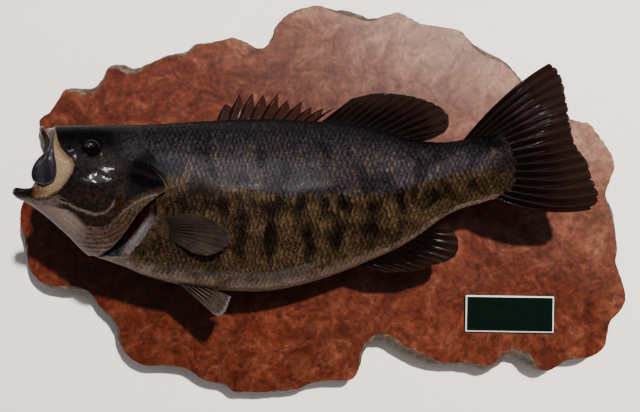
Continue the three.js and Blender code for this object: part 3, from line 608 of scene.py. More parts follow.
def off_slab(points):
    """The points, held just clear of the slab's face."""
    points[..., 1] = np.minimum(points[..., 1], BOARD_FACE / MM - SLAB_CLEARANCE)
    return points


def down_at(angle):
    return (1 - np.cos(angle)) / 2


def down_share(x, z):
    """How far down the flank a place is: 0 on the back, 1 on the belly."""
    return (back_line(x) - z) / (back_line(x) - belly_line(x))


def slit(down):
    return rise(down, GILL_SLIT_TOP, GILL_SLIT_TOP + GILL_SLIT_FADE) * (1 - 0.75 * rise(down, 0.9, 1))


def shoulder_gap(down):
    return SHOULDER_GAP * slit(down) * rise(down, 0.46, 0.6)


# Places on the head, as x and z in the middle plane.
MEMBRANE_REAR = [(-214.2, 66), (-214.2, 60.2), (-212.9, 51.8), (-211, 46.2), (-207.6, 41.6), (-203.6, 37.7),
                 (-201.6, 33), (-202.9, 26.7), (-206.3, 20.4), (-209.6, 14.9), (-213.6, 10.2),
                 (-219.7, 6.3), (-226.5, 5.5), (-233.2, 7.9), (-240, 9)]
JAW_TOP = [(-211.5, 4.7), (-204.8, 2.4), (-201.4, 0), (-194.5, -3.2), (-187.6, -5.6), (-182, -4.8),
           (-177.1, 0), (-175, 4.8)]
JAW_LOW = [(-238, 4), (-223.7, 0.8), (-216.9, -0.8), (-211.5, -1.6), (-206.1, -3.2), (-201.3, -6.3),
           (-196.4, -11.9), (-192.2, -16), (-186.7, -16.8), (-181.1, -16), (-175.5, -12),
           (-171.3, -7.2), (-169.1, -3.2)]
COVER_LOW = [(-134, 11.5), (-138, 10.5), (-143.5, 8.9), (-151.3, 6.4), (-158.9, 2.4), (-164.8, -2.4),
             (-169.8, -7.2), (-174.8, -12), (-178.2, -17.6)]
PREOPERCLE = [(-167.6, 57.6), (-164.3, 49.2), (-163.9, 38.5), (-164, 27.2), (-164.8, 16.8), (-167.1, 7.2),
              (-172.1, 0.8)]
EYE = {"x": -190, "z": 46, "radius": 6.6, "depth": 2.2, "sunk": 0.7}
NOSTRILS = [(-205.6, 46.2, 1.5), (-209.2, 50.4, 1.1)]
PECTORAL_BASE = (-137, -18)


def line_distance(x, z, line):
    """How far points are from a line, and on which side: above or ahead of its run is positive."""
    best = np.full(np.shape(x), 1e9)
    side = np.ones(np.shape(x))
    for (ax, az), (bx, bz) in zip(line, line[1:]):
        dx, dz = bx - ax, bz - az
        t = np.clip(((x - ax) * dx + (z - az) * dz) / (dx * dx + dz * dz), 0, 1)
        away = np.hypot(x - ax - t * dx, z - az - t * dz)
        closer = away < best
        side = np.where(closer, np.sign(dx * (z - az) - dz * (x - ax)), side)
        best = np.where(closer, away, best)
    return best * side


def patch(x, z, middle_x, middle_z, wide, high):
    """A soft oval patch, 1 in its middle."""
    return bell(np.hypot((x - middle_x) / wide, (z - middle_z) / high), 1)


def ripples(x, z, size, seed):
    """Smooth unevenness over the body, about 1 high, with lumps about `size` millimetres across."""
    dice = np.random.default_rng(seed)
    total = np.zeros(np.shape(x))
    for _ in range(14):
        turn, wave, shift = dice.uniform(0, np.pi), size * dice.uniform(0.7, 2.2), dice.uniform(0, 6.3)
        total = total + np.sin((x * np.cos(turn) + z * np.sin(turn)) * 2 * np.pi / wave + shift)
    return total / 3.7


def throat_folds(x, z, from_jaw):
    """The folds of skin over the gill rays, in lines that follow the lower edge of the jaw."""
    wave = np.sin(2 * np.pi * (-from_jaw + 0.8 * ripples(x, z, 26, 5)) / 3.6)
    return wave * rise(-from_jaw, 1.2, 4) * rise(x, -212, -192)


def head_relief(x, z):
    """Millimetres that the head's skin stands out (+) or in (-) from its plain shape."""
    from_eye = np.hypot(x - EYE["x"], z - EYE["z"])
    membrane, preopercle, cover_low, jaw_top, jaw_low = (
        line_distance(x, z, line) for line in (MEMBRANE_REAR, PREOPERCLE, COVER_LOW, JAW_TOP, JAW_LOW))
    below_jaw = (jaw_low < 0) & ((x < -178) | (cover_low > 0))
    ridge = np.where(preopercle < 0, np.exp(np.minimum(preopercle, 0) / 7), 1 - rise(preopercle, 0, 2.4))
    out = 0.25 * bell(from_eye - 6.6, 1.5) - 5.5 * (1 - rise(from_eye, 4.4, 5.5))
    for nx, nz, radius in NOSTRILS:
        from_nostril = np.hypot(x - nx, (z - nz) * 1.15)
        out += 0.28 * bell(from_nostril - radius - 0.5, 0.6)
        out -= 1.6 * (1 - rise(from_nostril, radius * 0.5, radius))
    out -= 1.5 * rise(-membrane, 0.2, 2.2) * (x < -198)
    out += 0.15 * bell(membrane - 1.4, 1.4) * (x < -196)
    out += 0.35 * rise(-z, -36, -20) * ridge
    out -= 0.3 + 0.8 * rise(cover_low, -0.5, 3) * rise(-x, 136, 142)
    out += 0.3 * bell(jaw_top + 1.6, 1.1) - 0.9 * bell(jaw_top - 0.4, 0.75)
    out -= 0.9 * below_jaw * rise(-jaw_low, 0, 1.4) * rise(x, -215, -205)
    out += 0.4 * below_jaw * throat_folds(x, z, jaw_low)
    out += 0.75 * patch(x, z, -187, 17, 12, 4.6) - 0.9 * patch(x, z, -190, 8, 9, 4.5)
    out += 0.8 * patch(x, z, -151, 26, 10, 15)
    return out + 0.05 * ripples(x, z, 9, 8) + 0.012 * ripples(x, z, 2.6, 9)


def body_relief(x, z):
    """The fleshy base of the pectoral fin and the slight unevenness of the flank."""
    pad = patch(x, z, PECTORAL_BASE[0] - 1, PECTORAL_BASE[1], 6, 10.5)
    thin = (half_width(x) - 1.3) * rise(x, 134, 160) * 0.9
    return 2.2 * pad + 0.15 * ripples(x, z, 60, 12) + 0.03 * ripples(x, z, 16, 13) - thin


INSIDE, OUTSIDE, RIM, CHAMBER, SHOULDER, BODY = range(6)
skin_angle = (np.arange(SKIN_AROUND) + 0.5) / SKIN_AROUND * 2 * np.pi
skin_down = down_at(skin_angle)
open_slit = slit(skin_down)
skin_rows = []


def add_row(x, z, side, region):
    """One ring of the skin. Its region tells what the paint on it is."""
    skin_rows.append((off_slab(place(x, z, side)), x, z, np.full(SKIN_AROUND, float(region))))


def skin_row(x, swell, region, relief=None, share=1.0, deepest=-9.0):
    """One ring round the fish's surface, with a share of a relief on it, no deeper than a limit."""
    x = np.broadcast_to(x, skin_angle.shape)
    if relief:
        px, pz, _ = section(x, skin_angle, swell)
        swell = swell + np.maximum(relief(px, pz), deepest) * share
    add_row(*section(x, skin_angle, swell), region)


def steps(count, end=1.0):
    """Even steps up to the end, without the first, at 0."""
    return np.linspace(0, end, count)[1:]


lip_x = LIP_X + lip_sag(skin_down)
lip_px, lip_pz, lip_side = section(lip_x, skin_angle, -LIP_WALL)
for step in np.linspace(1, 0.02, 34) ** 1.1:
    x = LIP_X + (MOUTH_END - LIP_X) * step
    inside = rise(step, 0, 0.3)
    middle, half = (mouth_roof(x) + mouth_floor(x)) / 2, (mouth_roof(x) - mouth_floor(x)) / 2
    wide = mouth_half_width(x) - 0.35 * np.sin(7 * skin_angle) * inside
    add_row(lip_px + (x - lip_px) * max(float(inside), step),
            lip_pz + (middle + half * np.cos(skin_angle) - lip_pz) * inside,
            lip_side + (wide * np.sin(skin_angle) - lip_side) * inside, INSIDE)
for turn in np.linspace(0, np.pi, 9):
    inner = (1 + math.cos(turn)) / 2
    skin_row(lip_x - LIP_ROLL * math.sin(turn) + 0.4, -LIP_WALL * inner,
             OUTSIDE if turn > 1 else INSIDE, head_relief, 1 - inner)
for step in steps(150):
    calm = 1 - rise(step, 0.75, 1) * (1 - open_slit)
    skin_row(lip_x + (gill_edge(skin_down) - lip_x) * step, GILL_FLARE * open_slit * rise(step, 0.5, 1),
             OUTSIDE, head_relief, calm, 5.4 * rise(step, 0.55, 0.88) - 6)

# Round the free edge of the gill covers, in under them, down to the body and out to the shoulder.
under_cover = []
rim_swell = GILL_FLARE - GILL_COVER_WALL
chamber_swell = rim_swell - CHAMBER_TAPER
for turn in steps(6, np.pi):
    roll = (1 - math.cos(turn)) / 2
    under_cover.append((0.5 * math.sin(turn) * open_slit, (GILL_FLARE - GILL_COVER_WALL * roll) * open_slit,
                        RIM if turn < 2.2 else CHAMBER, head_relief, (1 - roll) * open_slit))
for step in steps(7):
    under_cover.append((-GILL_UNDERCUT * step * open_slit,
                        (rim_swell - CHAMBER_TAPER * step) * open_slit, CHAMBER))
for step in steps(6):
    under_cover.append((-GILL_UNDERCUT * open_slit,
                        (chamber_swell - (chamber_swell + GILL_DEPTH) * step) * open_slit, CHAMBER))
for step in steps(9):
    under_cover.append((-GILL_UNDERCUT * open_slit * (1 - step) + shoulder_gap(skin_down) * step,
                        -GILL_DEPTH * open_slit, CHAMBER if step < 0.86 else SHOULDER))
for number, (offset, *ring) in enumerate(under_cover, 1):
    skin_row(gill_edge(skin_down) + RING_CREEP * number + offset, *ring)


def shoulder_end(down):
    """Where the body's plain flank begins, behind the gill slit."""
    return gill_edge(down) + RING_CREEP * len(under_cover) + SHOULDER_ROLL + shoulder_gap(down)


shoulder_x = shoulder_end(skin_down)
for turn in steps(9, np.pi / 2):
    skin_row(shoulder_x - SHOULDER_ROLL * math.cos(turn), -GILL_DEPTH * open_slit * (1 - math.sin(turn)),
             SHOULDER if turn < 0.9 else BODY)
for step in steps(30):
    sunk = rise(step, 0, 0.2)
    skin_row(shoulder_x + (FLANK_X - shoulder_x) * step, -COAT_DEPTH * sunk, BODY, body_relief, sunk)
for x in np.linspace(FLANK_X, TAIL_ROOT_X, 92)[1:]:
    bulge = TAIL_ROOT_BULGE * rise(x, 100, TAIL_ROOT_X) * np.sin(np.pi * skin_down)
    skin_row(x + bulge, -COAT_DEPTH, BODY, body_relief)
for step in steps(5):
    skin_row(TAIL_ROOT_X + 2 * step + TAIL_ROOT_BULGE * np.sin(np.pi * skin_down),
             -COAT_DEPTH - 0.7 * step**2, BODY, body_relief)


def closed_tube(points, columns):
    """Points and faces of rings of points, each end closed round a middle point."""
    faces, middles = grid_faces(len(points) // columns, columns, True).tolist(), []
    for number, first in enumerate((0, len(points) - columns)):
        middles.append(points[first:first + columns].mean(0))
        faces += [[len(points) + number, first + i, first + (i + 1) % columns] for i in range(columns)]
    return np.vstack([points, middles]), faces


def with_ends(values, columns):
    """Values of a tube's points, with one more for each end's middle."""
    return np.concatenate([values, values[:1], values[-columns:][:1]])


skin_points, skin_faces = closed_tube(np.vstack([row[0] for row in skin_rows]), SKIN_AROUND)
skin_x, skin_z, skin_region = (with_ends(np.concatenate([row[k] for row in skin_rows]), SKIN_AROUND)
                               for k in (1, 2, 3))

# The airbrushed base coat, as linear colours, and among them the painted reflection of the sky on the upper
# flank.
BACK = (0.0012, 0.0010, 0.0013)
BACK_GREY = (0.0080, 0.0068, 0.0082)
# SHEEN and its darker and warmer kinds are painted reflection: the sky mirrored in the clear coat of the
# upper flank.
SHEEN = (0.0140, 0.0112, 0.0124)
SHEEN_DARK = (0.0060, 0.0048, 0.0062)
SHEEN_WARM = (0.0230, 0.0170, 0.0125)
GOLD = (0.0310, 0.0190, 0.0095)
TAWNY = (0.0260, 0.0125, 0.0082)
OLIVE = (0.0115, 0.0068, 0.0034)
FIN_ROOT = (0.0080, 0.0048, 0.0030)
DARK_BAR = (0.0038, 0.0020, 0.0014)
BELLY = (0.094, 0.060, 0.043)
HEAD_BROWN = (0.0046, 0.0032, 0.0033)
CHEEK = (0.0128, 0.0094, 0.0088)
COVER_DARK = (0.0013, 0.0009, 0.0013)
COVER_MARGIN = (0.0200, 0.0115, 0.0062)
JAW_BROWN = (0.0095, 0.0048, 0.0030)
THROAT = (0.098, 0.071, 0.060)
THROAT_BROWN = (0.024, 0.0125, 0.0075)
CREAM = (0.128, 0.086, 0.050)
RUST = (0.030, 0.0075, 0.0018)
LIP_GREY = (0.060, 0.046, 0.038)
PALE_EDGE = (0.100, 0.078, 0.062)
CLEITHRUM = (0.066, 0.058, 0.058)
BLOOD = (0.0050, 0.0004, 0.0006)
BLUE_BLACK = (0.0020, 0.0023, 0.0034)
# Dark blotches and bars of the flank: x, z, half-width, half-height and strength.
BARS = [(-108.8, 16, 9, 12, 0.8), (-120, 3, 12, 11, 0.6), (-98, 7, 12, 9, 0.7), (-90.6, 1, 7, 10, 0.9),
        (-80.8, 53, 7, 9, 0.6), (-73, -16, 8, 24, 0.75), (-40.7, -1.6, 9, 7, 1.0),
        (-44.6, -26, 4.5, 22, 0.95), (-16.4, 0, 5.5, 9, 0.9), (-9.8, -26, 5.5, 17, 0.9),
        (7.4, 0, 4, 7, 0.9), (14.6, -25, 7, 14, 0.9), (23.7, 0, 5.5, 9, 0.9), (43.3, 1, 8, 8, 0.9),
        (44.9, -20, 11, 8, 0.85), (69.2, 7.5, 6, 9, 0.9), (80, 11.7, 4, 8, 0.8), (96, 9, 8, 10, 0.9),
        (107, 15, 3.5, 6, 0.7), (128, 18, 4, 6, 0.8), (15.5, 34, 6, 10, 0.5), (44, 31.6, 6, 10, 0.5),
        (-60, 36, 5, 12, 0.4), (-120, -30, 7, 14, 0.6), (72, -18, 5, 8, 0.6)]
SHOULDER_BAND = [(-141, -2), (-148, -12), (-156, -24), (-164, -37), (-170, -46)]
# The lower edge of the painted sky reflection on the flank: its height z against x.
sheen_line = smooth((-150, 26), (-128, 24.5), (-100, 19), (-73, 14.5), (-47, 10.5), (-24, 7), (2, 8),
                    (32, 8.5), (62, 10.5), (78, 15), (93, 20), (118, 27), (145, 31), (170, 33))


def dullness(down):
    """How much of the clear coat's gloss is lost towards the ridge of the back and the belly's keel."""
    return np.maximum(0.93 * rise(-down, -0.20, -0.10), 0.75 * rise(down, 0.82, 0.93))


def layered(ground, *coats):
    """A colour with others laid over it in turn, each with its own share."""
    paint = np.asarray(ground, float)
    for colour, share in coats:
        paint = paint + (np.asarray(colour) - paint) * np.clip(share, 0, 1)[:, None]
    return paint


def flank_paint(x, z):
    """Barred gold under a painted sky reflection, a near-black ridge, a cream belly and the shoulder's pale
    bone.
    """
    down = down_share(x, z)
    wander_x, wander_z = 2.5 * ripples(x, z, 18, 32), 2.5 * ripples(x, z, 18, 33)
    bars = np.zeros(len(x))
    for bar_x, bar_z, wide, high, strength in BARS:
        away = np.hypot((x - bar_x + wander_x) / wide, (z - bar_z + wander_z) / high)
        bars = np.maximum(bars, min(1, 1.15 * strength) * (1 - rise(away, 0.35, 1.55)))
    # The painted reflection of the sky: grey-violet, mottled, and brighter towards the head and the tail.
    sheen = layered(SHEEN, (SHEEN_WARM, rise(ripples(x, z, 13, 35), 0.0, 1.2) * 0.8),
                    (SHEEN_DARK, rise(ripples(x, 0.35 * z, 17, 36), 0.0, 0.9)))
    sheen = sheen * (1 + 0.35 * rise(x, 0, 70) + 0.3 * rise(-x, 20, 80))[:, None]
    border, blur = sheen_line(x), 5 * rise(x, 70, 130)
    return layered(
        GOLD,
        (OLIVE, rise(ripples(x, z, 16, 30) + 0.3 * ripples(x, z, 5, 31), -0.4, 0.8) * 0.85),
        (TAWNY, rise(ripples(x, z, 14, 37), 0.1, 0.9) * rise(down, 0.6, 0.75) * 0.8),
        (JAW_BROWN, 0.7 * patch(x, z, -136, -8, 17, 20)),
        (OLIVE, 0.6 * patch(x, z, -120, -34, 30, 16)),
        (OLIVE, 0.55 * rise(x, 70, 140)),
        (DARK_BAR, bars),
        (sheen, rise(z, border - 1.5 - blur, border + 2.5 + blur)),
        (BACK_GREY, rise(-down, -0.27, -0.07)),
        (BACK, 0.6 * rise(-down, -0.14, -0.02) + 0.3 * rise(-down, -0.3, -0.1) * rise(x, 20, 90)),
        (BACK, rise(x, 122, 146) * rise(-down, -0.34, -0.16)),
        (FIN_ROOT, 0.55 * rise(x, 148, 166)),
        (BELLY, rise(down + 0.012 * ripples(x, z, 12, 34), 0.90, 0.985)),
        (COVER_DARK, 2.2 * patch(x, z, -148, 29, 14, 12) * rise(-x, 131, 136)),
        (CLEITHRUM, 0.85 * bell(line_distance(x, z, SHOULDER_BAND) - 0.8, 2.8) * rise(-z, 2, 12)))


def head_paint(x, z):
    """Dark brown to black, with a cream edge round the mouth, a pale throat and a paler cheek."""
    cover_low, jaw_top, jaw_low = (line_distance(x, z, line) for line in (COVER_LOW, JAW_TOP, JAW_LOW))
    membrane = -line_distance(x, z, MEMBRANE_REAR)
    folded = rise(x, -205, -188)
    # The throat: brown near the jaw, with painted shade in the troughs of its folds.
    throat = layered(THROAT, (THROAT_BROWN, folded * rise(-jaw_low, 30, 8) * 0.8),
                     (JAW_BROWN, 0.8 * folded * rise(-throat_folds(x, z, jaw_low), -0.1, 0.9)),
                     (COVER_MARGIN, rise(x, -182, -168) * 0.6))
    jaw = rise(-jaw_top, -0.5, 0.8) * rise(jaw_low, -0.5, 0.8) * (x > -216) * (x < -166)
    below = rise(-jaw_low, -0.6, 0.9) * (1 - (1 - rise(cover_low, -0.3, 1.0)) * rise(x, -182, -176))
    cream = rise(membrane, -0.2, 0.7) * (x < -198)
    rusty = np.maximum(bell(membrane - 0.5, 1.1) * (z < 12) * 0.9, rise(-x, 216, 232) * 0.9)
    # Painted shade: black in the sunk nostril pits.
    nostril_shade = [(BACK, 1 - rise(np.hypot(x - nx, z - nz), radius * 0.6, radius * 1.2))
                for nx, nz, radius in NOSTRILS]
    return layered(
        HEAD_BROWN,
        (CHEEK, patch(x, z, -177, 33, 17, 17) * 0.8),
        (COVER_DARK, patch(x, z, -146, 28, 18, 22) * 1.9),
        (BACK, rise(z + 0.12 * (x + 190), 37, 54)),
        (COVER_MARGIN, rise(cover_low, -7, -1) * (x > -176) * 0.75),
        (PALE_EDGE, 0.55 * bell(cover_low + 0.2, 1.0) * rise(x, -180, -176) * rise(-x, 139, 144)),
        (JAW_BROWN, 0.6 * patch(x, z, -192, 6, 20, 9)),
        (JAW_BROWN, jaw),
        (LIP_GREY, (z < 9) * (x < -208) * rise(-x, 208, 219) * 0.95),
        (throat, below),
        (JAW_BROWN, 0.85 * bell(jaw_low + 0.5, 0.7) * (x > -206) * (x < -166)),
        # Along the fold at the top of the jaw: a painted highlight on its ridge and painted shade in its
        # groove.
        (PALE_EDGE, 0.5 * bell(jaw_top + 1.3, 0.8) * (x < -174)),
        (JAW_BROWN, 0.9 * bell(jaw_top - 0.4, 0.6) * (x < -174)),
        (CREAM, cream),
        (RUST, cream * rusty),
        # Painted shade along the rear edge of the sunk cream membrane: a soft brown margin on it and a dark
        # line in the crease.
        (JAW_BROWN, 0.35 * cream * bell(membrane - 0.5, 2.6)),
        (DARK_BAR, 0.85 * bell(membrane + 0.6, 0.8) * (x < -198)),
        (BACK, 0.9 * rise(-x, 227, 232) * rise(z, 5.5, 7.5)),
        *nostril_shade,
        (BACK, 1 - rise(np.hypot(x - EYE["x"], z - EYE["z"]), 6.9, 8.6)))


def skin_paint(x, z, region):
    """The colour of every point of the skin, by the region it is in."""
    down = np.clip(down_share(x, z), 0, 1)
    flank = flank_paint(x, z)
    head = layered(head_paint(x, z), (flank, rise(x - gill_edge(down), -18, -1) * (1 - slit(down))))
    deep = layered(BLOOD, (BLUE_BLACK, rise(-z, 22, 34)), (BACK, rise(z, -2, 8)))
    bare = layered(JAW_BROWN, (CLEITHRUM, rise(-z, 3, 19)),
                   (BLUE_BLACK, 0.9 * rise(-x, 161, 170) * rise(-z, 24, 34)))
    lining = layered(CREAM, (RUST, 0.25 + 0.55 * rise(x, -222, -196)), (BACK, 0.8 * rise(-x, 224, 236)))
    paints = {"edge": ((region == RIM) & (slit(down) > 0.4), np.tile(PALE_EDGE, (len(x), 1))),
              "head": ((region == OUTSIDE) | (region == RIM), head),
              "chamber": ((region == CHAMBER) & (slit(down) > 0.5), deep),
              "shoulder": ((region == SHOULDER) & (slit(down) > 0.5), bare),
              "mouth": (region == INSIDE, lining)}
    return np.select([where[:, None] for where, _ in paints.values()],
                     [paint for _, paint in paints.values()], flank)


def fish_colour():
    """The base coat with its fine speckle and brush marks, shared by the skin and the scales."""
    tree = bpy.data.node_groups.new("fish colour", "ShaderNodeTree")
    shader = Shader(tree)
    paint, tone, rim_pigment_shade_share, dull = (shader.node("Attribute", attribute_name=name).outputs[output]
                                    for name, output in (("paint", "Color"), ("tone", "Fac"),
                                                         ("rim", "Fac"), ("dull", "Fac")))
    fine = shader.noise(900.0, 4.0, Roughness=0.65)
    spots = shader.noise(330.0, 3.0)
    strength = shader.ramp(shader.node("RGBToBW", paint).outputs[0],
                           [(0.006, 1.0), (0.012, 0.8), (0.028, 0.75), (0.07, 0.2)])
    colour = shader.mottle(strength, paint, fine, [(0.34, 0.35), (0.5, 0.9), (0.66, 2.1)])
    colour = shader.mottle(strength, colour, spots, [(0.36, 0.55), (0.52, 1.0), (0.66, 1.35)])
    colour = shader.mix(1.0, colour, shader.math("ADD", tone, 1.0), "MULTIPLY")
    # Darker along the rims of the scales: partly their own dark pigment, partly painted shade in the gaps
    # where one scale laps over the next.
    dark = shader.mix(1.0, colour, (0.20, 0.16, 0.15), "MULTIPLY")
    given = {"Colour": shader.mix(rim_pigment_shade_share, colour, dark),
             "Roughness": shader.math("MULTIPLY_ADD", spots, 0.3, 0.3),
             "Height": shader.math("ADD", fine, shader.math("MULTIPLY", spots, 1.5)),
             "Gloss": shader.math("SUBTRACT", 1.0, dull)}
    out = tree.nodes.new("NodeGroupOutput")
    for name, value in given.items():
        kind = "NodeSocketColor" if name == "Colour" else "NodeSocketFloat"
        tree.interface.new_socket(name, in_out="OUTPUT", socket_type=kind)
        put(tree, value, out.inputs[name])
    return tree


fish_tree = fish_colour()


def fish_material(name, coat_rough, strength):
    """Painted skin or scale under a hard clear coat."""
    shader = new_material(name, Coat_Roughness=coat_rough, Specular_IOR_Level=0.02)
    given = shader.node("Group", node_tree=fish_tree).outputs
    put(shader.tree, given["Gloss"], shader.surface.inputs["Coat Weight"])
    return shader.dress(given["Colour"], given["Roughness"], given["Height"], strength, 0.0004)


skin = new_piece("fish_skin", skin_points, skin_faces, fish_material("painted_skin", 0.07, 0.5), "skin",
                 ["head", "trunk", "tail_stem", "lower_jaw", "throat", "gill_cover_left",
                  "gill_cover_right"])
skin_share = np.clip(down_share(skin_x, skin_z), 0, 1)
behind_eye = np.maximum(rise(skin_z, 24, 34), rise(skin_x, -184, -170)) * rise(-skin_x, 118, 128)
cover_tip = 0.7 * patch(skin_x, skin_z, -136, 31, 11, 5)
mark(skin, paint=skin_paint(skin_x, skin_z, skin_region), dull=np.maximum.reduce([
    0.85 * (skin_region == CHAMBER) * (slit(skin_share) > 0.5), dullness(skin_share),
    (0.9 + 0.06 * rise(skin_z, 38, 50) - cover_tip) * behind_eye,
    0.7 * rise(skin_x, 146, 158),
    0.85 * np.clip(1.7 * patch(skin_x, skin_z, -157, 15, 19, 13), 0, 1),
    0.97 * (np.hypot(skin_x - EYE["x"], skin_z - EYE["z"]) < 8.8)]))

# ---------------------------------------------------------------- the scales
# Staggered rows of rough-edged scales from the shoulder to the tail root, each lapping over the next,
# painted with the skin under them and sunk in the same clear coat.

SCALE_PITCH = 4.1
SCALE_LENGTH = 2.15 * SCALE_PITCH
SCALE_WIDTH = 1.95
BAKE_PATCH = 0.003
scale_row = smooth((-170, 5.6), (-60, 6.1), (20, 5.9), (80, 4.9), (155, 4.2))
SCALE_START = 1.0
# Where the scales end at the root of the tail, as x against the share of the way down.
scale_end = smooth((0, 149), (0.3, 160), (0.5, 164.5), (0.75, 163), (1, 153))
# A scale is a small grid of points, from its root to its tip and across it.
SCALE_ALONG = [0, 0.35, 0.68, 0.9, 1.0]
SCALE_ACROSS = [-1, -0.62, 0, 0.62, 1]
SCALE_POINTS = len(SCALE_ALONG) * len(SCALE_ACROSS)


def flank_map():
    """Angles round the fish at even distances from the middle of its flank, station by station."""
    stations = np.arange(-190.0, 172.0, 1.5)
    angles = np.linspace(0, np.pi, 500)
    reach = np.arange(-135.0, 135.5, 0.5)
    grid_x, grid_angle = np.meshgrid(stations, angles, indexing="ij")
    _, z, side = section(grid_x, grid_angle, -COAT_DEPTH)
    lengths = np.hypot(np.diff(z, axis=1), np.diff(side, axis=1))
    girth = np.concatenate([np.zeros((len(stations), 1)), np.cumsum(lengths, 1)], 1)
    girth -= girth[:, [len(angles) // 2 - 1]]
    table = np.stack([np.interp(reach, g, angles, left=-1, right=9) for g in girth])
    return stations, reach, table


map_x, map_reach, map_angle = flank_map()


def angle_at(x, reach):
    """The angle at a distance round the flank from its middle, from the table above."""
    i = np.clip((x - map_x[0]) / (map_x[1] - map_x[0]), 0, len(map_x) - 1.001)
    j = np.clip((reach - map_reach[0]) / (map_reach[1] - map_reach[0]), 0, len(map_reach) - 1.001)
    i0, j0 = i.astype(int), j.astype(int)
    fi, fj = i - i0, j - j0
    return ((map_angle[i0, j0] * (1 - fj) + map_angle[i0, j0 + 1] * fj) * (1 - fi)
            + (map_angle[i0 + 1, j0] * (1 - fj) + map_angle[i0 + 1, j0 + 1] * fj) * fi)


def scale_roots():
    """Where the scales of one flank sit: x, distance round the flank, and angle."""
    found = []
    for row in range(-22, 23):
        x = -175.0 + (row % 2) * SCALE_PITCH / 2
        while x < 168:
            reach = row * scale_row(x)
            angle = angle_at(np.array([x]), np.array([reach]))[0]
            if 0.06 < angle < 3.08:
                down = down_at(angle)
                z = section(np.array([x]), np.array([angle]), 0)[1][0]
                near_fin = math.hypot((x - PECTORAL_BASE[0]) / 8, (z - PECTORAL_BASE[1]) / 12) < 1
                if shoulder_end(down) + SCALE_START < x < scale_end(down) and not near_fin:
                    found.append((x, reach, angle))
            x += SCALE_PITCH
    return np.array(found).T


def scale_shape():
    """One scale's points as places forwards, sideways and outwards, and how near each is to the rim."""
    along, across = np.meshgrid(SCALE_ALONG, SCALE_ACROSS, indexing="ij")
    forward = along - 0.5 - 0.26 * across**2 * along**1.5 + 0.10 * across**2 * (1 - along)
    sideways = 0.5 * across * (0.72 + 0.28 * np.sin(np.pi * np.minimum(along * 0.8, 0.5)))
    height = -0.12 + 0.42 * along**0.8 + 0.05 * (1 - across**2) - 0.05 * (along > 0.99)
    side_edge = 0.8 * rise(np.abs(across), 0.62, 1.0) * rise(along, 0.3, 0.68)
    edge = np.maximum(rise(along, 0.80, 1.0), side_edge)
    return forward.ravel(), sideways.ravel(), height.ravel(), edge.ravel()


def grid_border(rows, columns):
    """The points round the outside of a grid, in order."""
    numbers = np.arange(rows * columns).reshape(rows, columns)
    return np.concatenate([numbers[0], numbers[1:, -1], numbers[-1, -2::-1], numbers[-2:0:-1, 0]])


def scale_coat(name, side, seed):
    """All the scales of one flank as one mesh; side is 1 for the near flank and -1 for the far one."""
    root_x, root_reach, root_angle = scale_roots()
    dice = np.random.default_rng(seed)
    count = len(root_x)
    size = 1 + 0.05 * dice.normal(size=count)
    length, width = SCALE_LENGTH * size, SCALE_WIDTH * scale_row(root_x) * size
    forward, sideways, height, edge = scale_shape()
    turn = 0.05 * dice.normal(size=count)[:, None]
    along, across = forward * length[:, None], sideways * width[:, None]
    x = root_x[:, None] + along * np.cos(turn) - across * np.sin(turn)
    reach = root_reach[:, None] + across * np.cos(turn) + along * np.sin(turn)
    angle = np.clip(angle_at(x, reach), 0.0, np.pi)
    lift = height * (0.65 + 0.7 * dice.random(count))[:, None]
    lift = lift + sideways * 0.12 * dice.normal(size=count)[:, None]
    px, pz, _ = section(x, angle, 0)
    px, pz, beside = section(x, angle, lift - COAT_DEPTH + body_relief(px, pz))
    points = place(px, pz, beside * side)
    free = (points[..., 1] < BOARD_FACE / MM - SLAB_CLEARANCE - 0.2).all(1)
    points, root_x, root_angle, count = points[free], root_x[free], root_angle[free], free.sum()
    first = np.arange(count)[:, None] * SCALE_POINTS
    across_count = len(SCALE_ACROSS)
    top = grid_faces(len(SCALE_ALONG), across_count, False)[:, ::-1]
    faces = (first[:, None] + top).reshape(-1, 4).tolist()
    faces += (first + grid_border(len(SCALE_ALONG), across_count)).tolist()
    middle_x, middle_z, _ = section(root_x, root_angle, 0)
    tone = np.clip(0.13 * dice.normal(size=count), -0.5, 0.7)[:, None] + 0.35 * (1 - edge) * (height > 0.1)
    down = down_at(root_angle)[:, None]
    # The scales' rims: partly dark pigment, partly painted shade in the gaps between the scales; less of it
    # near the belly.
    rim_pigment_and_shade = edge * (1 - 0.6 * rise(down, 0.86, 0.95))
    dull = dullness(down) + 0.2 * dice.random(count)[:, None] + 0.97 * rise(root_x, -20, 25)[:, None]
    coat = new_piece(name, points.reshape(-1, 3), faces, scale_material, "skin", shut=False)
    mark(coat, tone=tone.ravel(), rim=rim_pigment_and_shade.ravel(),
         dull=np.maximum(np.clip(dull, 0, 1), 0.7 * rim_pigment_and_shade).ravel(),
         paint=flank_paint((0.35 * px[free] + 0.65 * middle_x[:, None]).ravel(),
                           (0.35 * pz[free] + 0.65 * middle_z[:, None]).ravel()))
    cut = coat.data.attributes.new("sharp_edge", "BOOLEAN", "EDGE")
    for polygon in coat.data.polygons:
        if len(polygon.vertices) > 4:
            for loop in polygon.loop_indices:
                cut.data[coat.data.loops[loop].edge_index].value = True
    patches = np.stack([forward, sideways], 1) * BAKE_PATCH
    where = np.stack([0.03 + 0.94 * (root_x + 180) / 345, 0.03 + 0.94 * root_angle / np.pi], 1)
    uv = (where[:, None, :] + patches).reshape(-1, 2)
    corner = np.zeros(len(coat.data.loops), np.int32)
    coat.data.loops.foreach_get("vertex_index", corner)
    layer = coat.data.uv_layers.new(name="OFBake")
    layer.data.foreach_set("uv", uv[corner].astype(np.float32).ravel())


scale_material = fish_material("painted_scales", 0.16, 0.25)
scale_coat("scales_left", 1, 7)
scale_coat("scales_right", -1, 8)

# ---------------------------------------------------------------- the fins
# Each fin is thin skin stretched over bony rays that split towards the free edge, dried hard, painted
# and clear-coated. The front of the back fin has ten stiff sharp spines instead.

